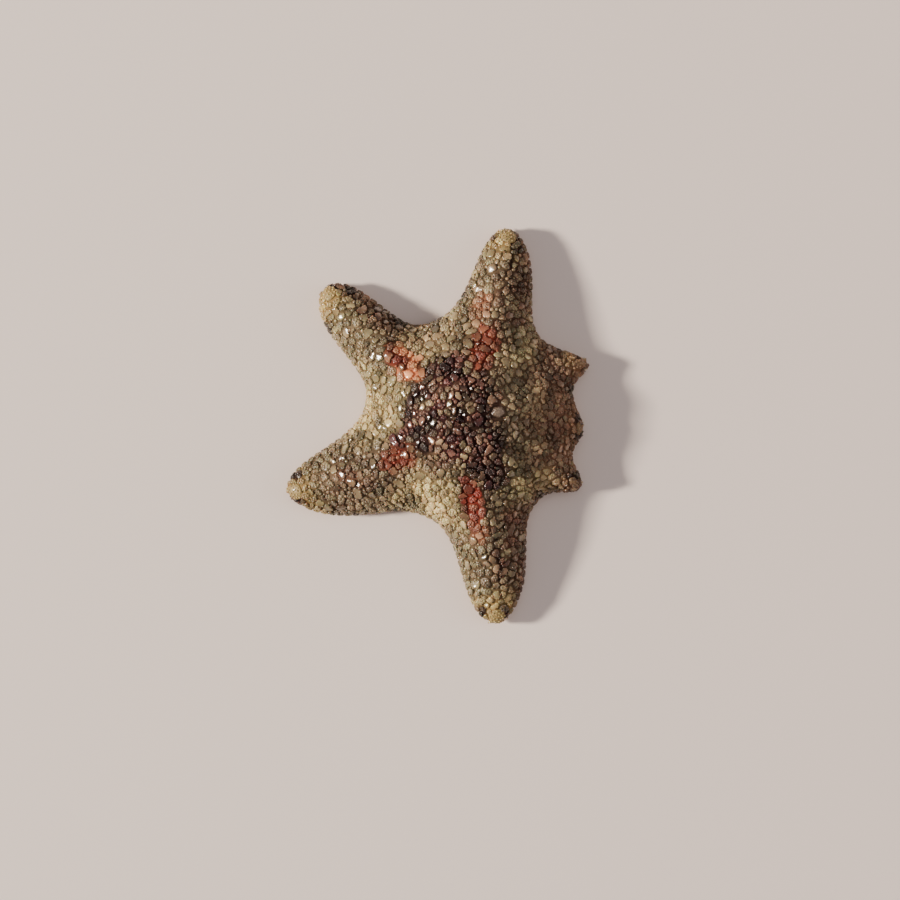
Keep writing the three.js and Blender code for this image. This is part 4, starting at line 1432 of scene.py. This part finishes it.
def turn_to_light(plates, chosen, rise, tilt):
    """Turns some of the plates so that they mirror the key light upwards."""
    turn, climb = math.radians(KEY_AZIMUTH), math.radians(KEY_ELEVATION)
    mirror = unit(np.array([
        math.cos(turn) * math.cos(climb), math.sin(turn) * math.cos(climb), 1 + math.sin(climb)
    ]))
    reach = plates.reach[chosen].mean(axis=1)
    lean = np.stack([plates.inward[chosen] @ mirror, plates.sideways[chosen] @ mirror], axis=1)
    lean = -lean / (plates.normals[chosen] @ mirror)[:, None]
    wanted = lean * (reach / rise)[:, None]
    steep = np.linalg.norm(wanted, axis=1)
    share = GLINT_SHARE * (1 + plates.pigments["maroon"][chosen]) + 0.25 * (steep < 0.4)
    able = (reach < GLINT_REACH) & (steep < 0.9)
    turned = able & (RNG.random(len(chosen)) < share)
    return np.where(turned[:, None], wanted + RNG.normal(0, 0.06, wanted.shape), tilt)


def make_back(plates, material):
    """The plates and granules of the back, one piece for each ray's sector."""
    for index in range(len(RAYS)):
        bundle = Bundle()
        mine = (plates.kinds == BACK) & (plates.sector == index)
        chosen = np.flatnonzero(mine & ~plates.bare)
        rise = vary(PLATE_RISE, 0.85, 1.15, len(chosen))
        tilt = np.clip(RNG.normal(0, 0.28, (len(chosen), 2)), -0.6, 0.6)
        add_plates(bundle, plates, chosen, rise, GRANULES, tilt)
        chosen = np.flatnonzero(mine & plates.bare)
        rise = vary(BARE_RISE, 0.9, 1.1, len(chosen))
        tilt = RNG.normal(0, 0.55, (len(chosen), 2))
        tilt *= np.minimum(1, 0.85 / np.linalg.norm(tilt, axis=1))[:, None]
        tilt = turn_to_light(plates, chosen, rise, tilt)
        add_plates(bundle, plates, chosen, rise, BARE_GRANULES, tilt, bare=True)
        bundle.piece(f"back_plates_{index + 1}", material, "ray_skin")


def make_gills(plates, material):
    """Soft gills that come up through the bays of the plates."""
    bundle = Bundle()
    chosen = np.flatnonzero(plates.bay_depth > GILL_BAY)
    turn = plates.bay[chosen][:, None]
    away = np.cos(turn) * plates.inward[chosen] + np.sin(turn) * plates.sideways[chosen]
    reach = plates.reach[chosen].mean(axis=1)[:, None]
    base, normal = skin.snap(plates.points[chosen] + away * reach * 0.98)
    direction = unit(normal + RNG.normal(0, 0.2, normal.shape))
    length = RNG.uniform(*GILL_LENGTHS, len(chosen))
    radius = vary(GILL_REACH, 0.8, 1.2, len(chosen))
    shades = {name: value[:, None] for name, value in markings(*base[:, :2].T).items()}
    uvs = unwrap(base, np.zeros(len(base), bool))
    add_pegs(bundle, base, direction, length, radius, GILL, 8, uvs, shades, TUFT_PATCH)
    bundle.piece("gills", material, "ray_skin")


def clearance(plates, places):
    """Distance of places on the skin to the edges of the plates around them."""
    tree = tree_of(plates.points)
    near = np.array([[hit[1] for hit in tree.find_n(place, 4)] for place in places.tolist()])
    away = places[:, None] - plates.points[near]
    side = np.sum(away * plates.sideways[near], axis=2)
    front = np.sum(away * plates.inward[near], axis=2)
    column = np.round(np.arctan2(side, front) / (2 * np.pi) * COLUMNS).astype(int) % COLUMNS
    return (np.linalg.norm(away, axis=2) - plates.reach[near, column]).min(axis=1)


def make_fillers(plates, material):
    """Small round plates in the widest gaps between the plates of the back."""
    tries = skin.scatter(~faces_down, 30000)
    clear = clearance(plates, tries)
    order = np.argsort(-clear)
    order = order[clear[order] > FILLER_CLEAR]
    order = order[spaced(tries[order], [], 1.6 * clear[order] + 0.035)]
    count = len(order)
    base, normal = skin.snap(tries[order])
    direction = unit(normal + RNG.normal(0, 0.16, normal.shape))
    radius = vary(np.minimum(clear[order], FILLER_REACH), 0.72, 0.92, count)
    length = vary(PLATE_RISE, 0.8, 1.15, count)
    shades = {
        **markings(*base[:, :2].T), "tone": np.clip(RNG.normal(0.42, 0.16, count), 0, 1),
        "hue": RNG.random(count), "gloss": RNG.uniform(0.1, 0.8, count), "grade": np.ones(count),
    }
    shades = {name: value[:, None] for name, value in shades.items()}
    uvs = unwrap(base, np.zeros(count, bool))
    bundle = Bundle()
    add_pegs(bundle, base, direction, length, radius, FILLER, 10, uvs, shades, TUFT_PATCH)
    bundle.piece("small_plates", material, "ray_skin")


def make_margin(plates, material):
    """The upper row of plates round the rim."""
    bundle = Bundle()
    chosen = np.flatnonzero(plates.kinds == MARGIN)
    rise = vary(PLATE_RISE, 0.9, 1.1, len(chosen))
    add_plates(bundle, plates, chosen, rise, GRANULES)
    bundle.piece("margin_plates", material, "ray_skin")


def make_fringe(plates, material):
    """The lower row of plates round the rim, each with a fringe of spines that point outwards."""
    bundle = Bundle()
    chosen = np.flatnonzero(plates.kinds == FRINGE)
    add_plates(bundle, plates, chosen, FRINGE_RISE, FRINGE_GRANULES)
    plate, number = np.divmod(np.arange(len(chosen) * FRINGE_SPINES), FRINGE_SPINES)
    owner = chosen[plate]
    outward = plates.normals[owner]
    level = unit(np.cross(np.array([0.0, 0.0, 1.0]), outward))
    share = (number / (FRINGE_SPINES - 1) * 2 - 1)[:, None]
    base = plates.points[owner] + level * share * FRINGE_SPREAD + outward * 0.02
    base[:, 2] -= FRINGE_STAGGER * (number % 2)
    direction = outward + level * share * 0.55 - np.array([0, 0, 0.12])
    direction = unit(direction + RNG.normal(0, 0.1, direction.shape))
    length = vary(FRINGE_SPINE[0], 0.8, 1.15, len(owner))
    radius = vary(FRINGE_SPINE[1], 0.85, 1.1, len(owner))
    add_pegs_on(bundle, plates, owner, base, direction, length, radius, SPINELET, 6)
    bundle.piece("fringe_plates", material, "ray_skin")


def left_of(plates, chosen):
    """Unit vectors to the left of the rays' middle lines."""
    distance = np.hypot(plates.points[chosen, 0], plates.points[chosen, 1])
    heading = heading_at(plates.sector[chosen], distance)
    return np.column_stack([-np.sin(heading), np.cos(heading), np.zeros(len(chosen))])


def make_under(plates, material):
    """The plates of the underside, each with two or three short spines that lean outwards."""
    for piece, sectors in enumerate(UNDER_PIECES):
        chosen = np.flatnonzero((plates.kinds == UNDER) & np.isin(plates.sector, sectors))
        bundle = Bundle()
        rise = vary(UNDER_RISE, 0.85, 1.1, len(chosen))
        add_plates(bundle, plates, chosen, rise, UNDER_GRANULES, seat=0.8)
        plate, number = np.divmod(np.arange(len(chosen) * UNDER_SPINES), UNDER_SPINES)
        kept = (number < 2) | (RNG.random(len(plate)) < 0.4)
        owner, number = chosen[plate[kept]], number[kept]
        outward = left_of(plates, owner) * np.sign(plates.across[owner])[:, None]
        outward = unit(outward - 0.4 * plates.inward[owner])
        shift = plates.sideways[owner] * ((number - 1) * 0.045)[:, None]
        base = plates.points[owner] + plates.normals[owner] * 0.03 + shift * 0.9
        direction = plates.normals[owner] * 0.42 + outward + RNG.normal(0, 0.18, base.shape)
        length = vary(UNDER_SPINE[0], 0.8, 1.2, len(owner))
        radius = vary(UNDER_SPINE[1], 0.85, 1.1, len(owner))
        add_pegs_on(bundle, plates, owner, base, unit(direction), length, radius, SPINELET, 6)
        bundle.piece(f"under_plates_{piece + 1}", material, "ray_skin")


def make_banks(plates, material):
    """Plates along the furrows with a comb over the furrow and a pair of spines beside it."""
    bundle = Bundle()
    chosen = np.flatnonzero(plates.kinds == BANK)
    add_plates(bundle, plates, chosen, BANK_RISE)
    middle, normal, fore = plates.points[chosen], plates.normals[chosen], plates.inward[chosen]
    inner = -left_of(plates, chosen) * np.sign(plates.across[chosen])[:, None]
    grown = np.array([ray.grown for ray in RAYS])[plates.sector[chosen]]
    scale = np.where(grown, 1.0, 0.72)
    for share in np.arange(COMB_SPINES) / (COMB_SPINES - 1) * 2 - 1:
        base = middle + inner * (0.055 * scale)[:, None] + fore * share * 0.06 + normal * 0.02
        direction = unit(inner + fore * share * 0.45 + normal * 0.5)
        length, radius = COMB_SPINE[0] * scale * (1 - 0.25 * abs(share)), COMB_SPINE[1] * scale
        add_pegs_on(bundle, plates, chosen, base, direction, length, radius, SPINELET, 6)
    for share in (-0.5, 0.5):
        base = middle - inner * 0.02 + fore * share * 0.07 + normal * 0.03
        direction = unit(-inner + normal * 0.5 + fore * share * 0.5)
        length = vary(BANK_SPINE[0] * scale, 0.9, 1.15, len(chosen))
        radius = BANK_SPINE[1] * scale
        add_pegs_on(bundle, plates, chosen, base, direction, length, radius, SPINELET, 7)
    bundle.piece("furrow_plates", material, "ray_skin")


def make_jaws(plates, material):
    """The seven jaws: paired plates with spines that close over the mouth."""
    bundle = Bundle()
    chosen = np.flatnonzero(plates.kinds == JAW)
    add_plates(bundle, plates, chosen, JAW_RISE)
    middle, normal = plates.points[chosen], plates.normals[chosen]
    inward = -unit(middle * np.array([1, 1, 0]))
    aside = np.cross(normal, inward) * np.where(np.arange(len(chosen)) % 2, 1.0, -1.0)[:, None]
    radius = np.full(len(chosen), JAW_SPINE_RADIUS)
    for forward, lean, drop, length in JAW_SPINES:
        base = middle + inward * forward + normal * 0.02
        direction = unit(inward + aside * lean + normal * drop)
        length = vary(length, 0.9, 1.1, len(chosen))
        add_pegs_on(bundle, plates, chosen, base, direction, length, radius, SPINELET, 7)
    bundle.piece("jaws", material, "disc_skin")


def make_tube_feet(material):
    """Two rows of tube feet in each furrow, from its roof down to the floor."""
    bundle = Bundle()
    for index, ray in enumerate(RAYS):
        pitch = FOOT_PITCH if ray.grown else SMALL_FOOT_PITCH
        for side in (-1, 1):
            along = np.arange(0.72 + pitch / 2 * (side > 0), TIPS[index] - 0.45, pitch)
            count = len(along)
            sector = np.full(count, index)
            half = furrow_half(sector, along, side)
            x, y = ray_point(index, along, side * half * 0.52)
            roof = sole_height(*ray_point(index, along, 0.0)) + COAT * 0.8
            base = np.column_stack([x, y, roof])
            heading = heading_at(index, along)
            outward = side * np.column_stack([-np.sin(heading), np.cos(heading), np.zeros(count)])
            lean = outward * 0.12 + RNG.normal(0, 0.07, base.shape)
            direction = unit(lean + np.array([0, 0, -1.0]))
            length = vary(roof - 0.012, 0.8, 0.97, count)
            shades = {"tone": RNG.random((count, 1))}
            uvs = unwrap(base, np.ones(count, bool), sector)
            add_pegs(
                bundle, base, direction, length, half * 0.38, TUBE_FOOT, 10, uvs, shades, TUFT_PATCH
            )
    bundle.piece("tube_feet", material, "mouth_skin")


def dome_piece(name, place, plates, reach, rings, material, slot, relief=None, umber_and_shade=0.0):
    """A closed dome in the place of a plate: reach by direction, and rings as pairs of a share
    of that reach and a height."""
    centre, normal = plates.points[place], plates.normals[place]
    fore, side = plates.inward[place], plates.sideways[place]
    columns = len(reach)
    turns = np.linspace(0, 2 * np.pi, columns, endpoint=False)
    flat = np.outer(np.cos(turns) * reach, fore) + np.outer(np.sin(turns) * reach, side)
    crown = rings[-1][1]
    points, heights = [], []
    for share, height in rings:
        foot, up = skin.snap(centre + flat * share)
        up = unit(lerp(normal, up, 0.7))
        lift = np.full(columns, height)
        if relief is not None:
            lift = lift + relief(share, turns)
        points.append(foot + up * lift[:, None])
        heights.append(np.clip(lift / crown, 0, 1))
    points = np.concatenate(points + [(centre + normal * crown)[None]])
    heights = np.concatenate(heights + [np.ones(1)])
    local = (points - centre) @ np.stack([fore, side], axis=1)
    uvs = unwrap(centre[None], np.array([False])) + local * UV_SCALE
    shades = {"height": heights[None], "umber_and_shade": np.full((1, 1), umber_and_shade)}
    bundle = Bundle()
    bundle.add(points[None], ring_faces(len(rings), columns), uvs[None], shades)
    return bundle.piece(name, material, slot)


def make_tips(plates, material, plate_finish):
    """The plate that caps each ray, and the granules on it."""
    turns = np.linspace(0, 2 * np.pi, TIP_COLUMNS, endpoint=False)
    for place in np.flatnonzero(plates.kinds == TIP):
        index = plates.sector[place]
        half_length = (TIPS[index] - TIP_STARTS[index]) / 2 + 0.05
        half_width = min(0.25, 0.62 * RAYS[index].end_half * 0.55)
        fore, side = np.abs(np.cos(turns) / half_length), np.abs(np.sin(turns) / half_width)
        reach = (fore**TIP_CORNER + side**TIP_CORNER) ** (-1 / TIP_CORNER)
        rings = [(share, height * TIP_RISE) for share, height in TIP_RINGS]
        piece = dome_piece(
            f"tip_plate_{index + 1}", place, plates, reach, rings, material, "tip_plate",
            # Umber on the short rays' tips, partly painted shade.
            umber_and_shade=0.0 if RAYS[index].grown else 0.7,
        )
        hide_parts(f"terminal_plate_{index + 1}")

        number = np.arange(TIP_GRANULES)
        share = np.sqrt((number + 0.5) / TIP_GRANULES) * 0.92
        turn = number * GOLDEN_TURN + index
        out = np.interp(turn % (2 * np.pi), turns, reach, period=2 * np.pi) * share
        flat = np.outer(np.cos(turn) * out, plates.inward[place])
        flat = flat + np.outer(np.sin(turn) * out, plates.sideways[place])
        base, normal = skin.snap(plates.points[place] + flat)
        base = base + normal * (TIP_RISE * np.interp(share, *zip(*TIP_RINGS[:1:-1])))[:, None]
        length = vary(COAT - TIP_RISE, 0.6, 1.2, TIP_GRANULES)
        radius = vary(TIP_GRANULE, 0.75, 1.15, TIP_GRANULES)
        own = {"tone": RNG.normal(0.5, 0.16, TIP_GRANULES), "grade": np.ones(TIP_GRANULES)}
        owner = np.full(TIP_GRANULES, place)
        bundle = Bundle()
        add_pegs_on(
            bundle, plates, owner, base, unit(normal + flat * 2), length, radius, GRANULE, 8, own
        )
        bundle.piece(f"tip_granules_{index + 1}", plate_finish, "tip_plate")


def make_sieve(plates, material):
    """The madreporite, a round button with winding grooves."""
    place = np.flatnonzero(plates.kinds == SIEVE)[0]
    shares = [1.0, 1.0, 0.93, 0.86, 0.78, 0.7, 0.62, 0.54, 0.46, 0.38, 0.3, 0.22, 0.14]
    heights = [-0.03, 0.004, 0.02, 0.036, 0.052, 0.062]
    heights += [0.064 + 0.022 * (1 - share**2) for share in shares[len(heights):]]

    def grooves(share, turns):
        winding = np.sin(13 * turns + 5 * np.sin(2 * turns + 9 * share) + 4 * share)
        return -0.02 * smooth((winding + 0.1) / 0.6) * (0.15 < share < 0.8)

    turns = np.linspace(0, 2 * np.pi, SIEVE_COLUMNS, endpoint=False)
    reach = SIEVE_RADIUS * (0.86 + 0.09 * np.cos(2 * turns + 0.6) + 0.05 * np.cos(5 * turns))
    rings = list(zip(shares, heights))
    piece = dome_piece("sieve_button", place, plates, reach, rings, material, "sieve_plate", grooves)
    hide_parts("madreporite")


def make_mouth(material):
    """The soft ring round the mouth, gathered into folds."""
    turns = np.linspace(0, 2 * np.pi, 6 * RING_FOLDS, endpoint=False)
    section = np.linspace(0, 2 * np.pi, 20, endpoint=False)
    turn, part = np.meshgrid(turns, section, indexing="ij")
    folds = 0.014 * np.cos(RING_FOLDS * turn + 0.6 * np.sin(3 * turn)) * (0.6 - 0.4 * np.cos(part))
    radius = RING_RADIUS + (RING_WIDTH + folds) * np.cos(part)
    height = RING_LEVEL + (RING_HEIGHT + folds) * np.sin(part)
    points = np.stack([radius * np.cos(turn), radius * np.sin(turn), height], axis=2)
    ring, column = np.indices(turn.shape)
    place = ring * len(section) + column
    after, beside = np.roll(place, -1, axis=0), np.roll(place, -1, axis=1)
    corners = np.stack([place, after, np.roll(after, -1, axis=1), beside], axis=2).ravel()
    uvs = np.stack([turn / 6.3, part / 6.3], axis=2).reshape(-1, 2)
    piece = make_piece(
        "mouth_ring", to_frame(points.reshape(-1, 3)), corners, np.full(place.size, 4), material,
        {}, uvs,
    )
    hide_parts("mouth")


# ---- The stage ------------------------------------------------------------------------------

# In metres.
VIEW_X, VIEW_Y = 0.000342, -0.000661  # the middle of the picture, on the floor
FRAME_WIDTH = 0.025  # of the floor, in the picture
CAMERA_HEIGHT = 0.14
SENSOR = 36  # width, in millimetres
FLOOR_HALF = 0.4


def make_camera():
    data = bpy.data.cameras.new("camera")
    data.sensor_width = SENSOR
    data.lens = SENSOR * CAMERA_HEIGHT / FRAME_WIDTH
    data.clip_start, data.clip_end = 0.005, 5
    camera = bpy.data.objects.new("camera", data)
    camera.location = (VIEW_X, VIEW_Y, CAMERA_HEIGHT)
    bpy.context.scene.collection.objects.link(camera)
    bpy.context.scene.camera = camera


def make_floor():
    mesh = bpy.data.meshes.new("floor")
    half = FLOOR_HALF
    corners = [(-half, -half, 0), (half, -half, 0), (half, half, 0), (-half, half, 0)]
    mesh.from_pydata(corners, [], [(0, 1, 2, 3)])
    graph = Graph("floor_card")
    mesh.materials.append(graph.finish(colour(234, 217, 206), 0.8))
    floor = bpy.data.objects.new("floor", mesh)
    bpy.context.scene.collection.objects.link(floor)


def make_light(name, azimuth, elevation, distance, size, power, tint, in_gloss=True):
    """A soft square light, aimed at the star. Azimuth 0 is towards +X and 90 towards +Y."""
    data = bpy.data.lights.new(name, "AREA")
    data.size, data.energy, data.color = size, power, tint
    light = bpy.data.objects.new(name, data)
    turn, rise = math.radians(azimuth), math.radians(elevation)
    away = Vector((math.cos(turn) * math.cos(rise), math.sin(turn) * math.cos(rise), math.sin(rise)))
    light.location = away * distance
    light.rotation_mode = "QUATERNION"
    light.rotation_quaternion = away.to_track_quat("Z", "Y")
    light.visible_glossy = in_gloss
    bpy.context.scene.collection.objects.link(light)


def make_studio():
    make_floor()
    make_light("key", KEY_AZIMUTH, KEY_ELEVATION, 0.3, 0.035, 1.8, (1.0, 0.92, 0.82))
    make_light("fill", 0, 32, 0.3, 0.2, 0.26, (1.0, 0.88, 0.84), in_gloss=False)
    make_light("top", 60, 80, 0.35, 0.3, 0.27, (0.96, 0.94, 1.0), in_gloss=False)
    world = bpy.data.worlds.new("studio")
    world.use_nodes = True
    background = world.node_tree.nodes["Background"]
    background.inputs["Color"].default_value = (0.97, 0.95, 1.0, 1)
    background.inputs["Strength"].default_value = 0.19
    bpy.context.scene.world = world


make_camera()
make_studio()
plates = Plates(*gather_plates())
make_skin(skin_material())
make_gills(plates, gill_material())
plate_finish = plate_material()
make_back(plates, plate_finish)
make_margin(plates, plate_finish)
make_fringe(plates, plate_finish)
make_under(plates, plate_finish)
make_banks(plates, plate_finish)
make_jaws(plates, plate_finish)
make_tube_feet(soft_material("tube_foot_skin", colour(206, 160, 118), colour(188, 134, 96)))
make_mouth(soft_material("mouth_membrane", colour(196, 150, 120), colour(168, 112, 88)))
make_tips(plates, tip_material(), plate_finish)
make_sieve(plates, sieve_material())
make_fillers(plates, plate_finish)
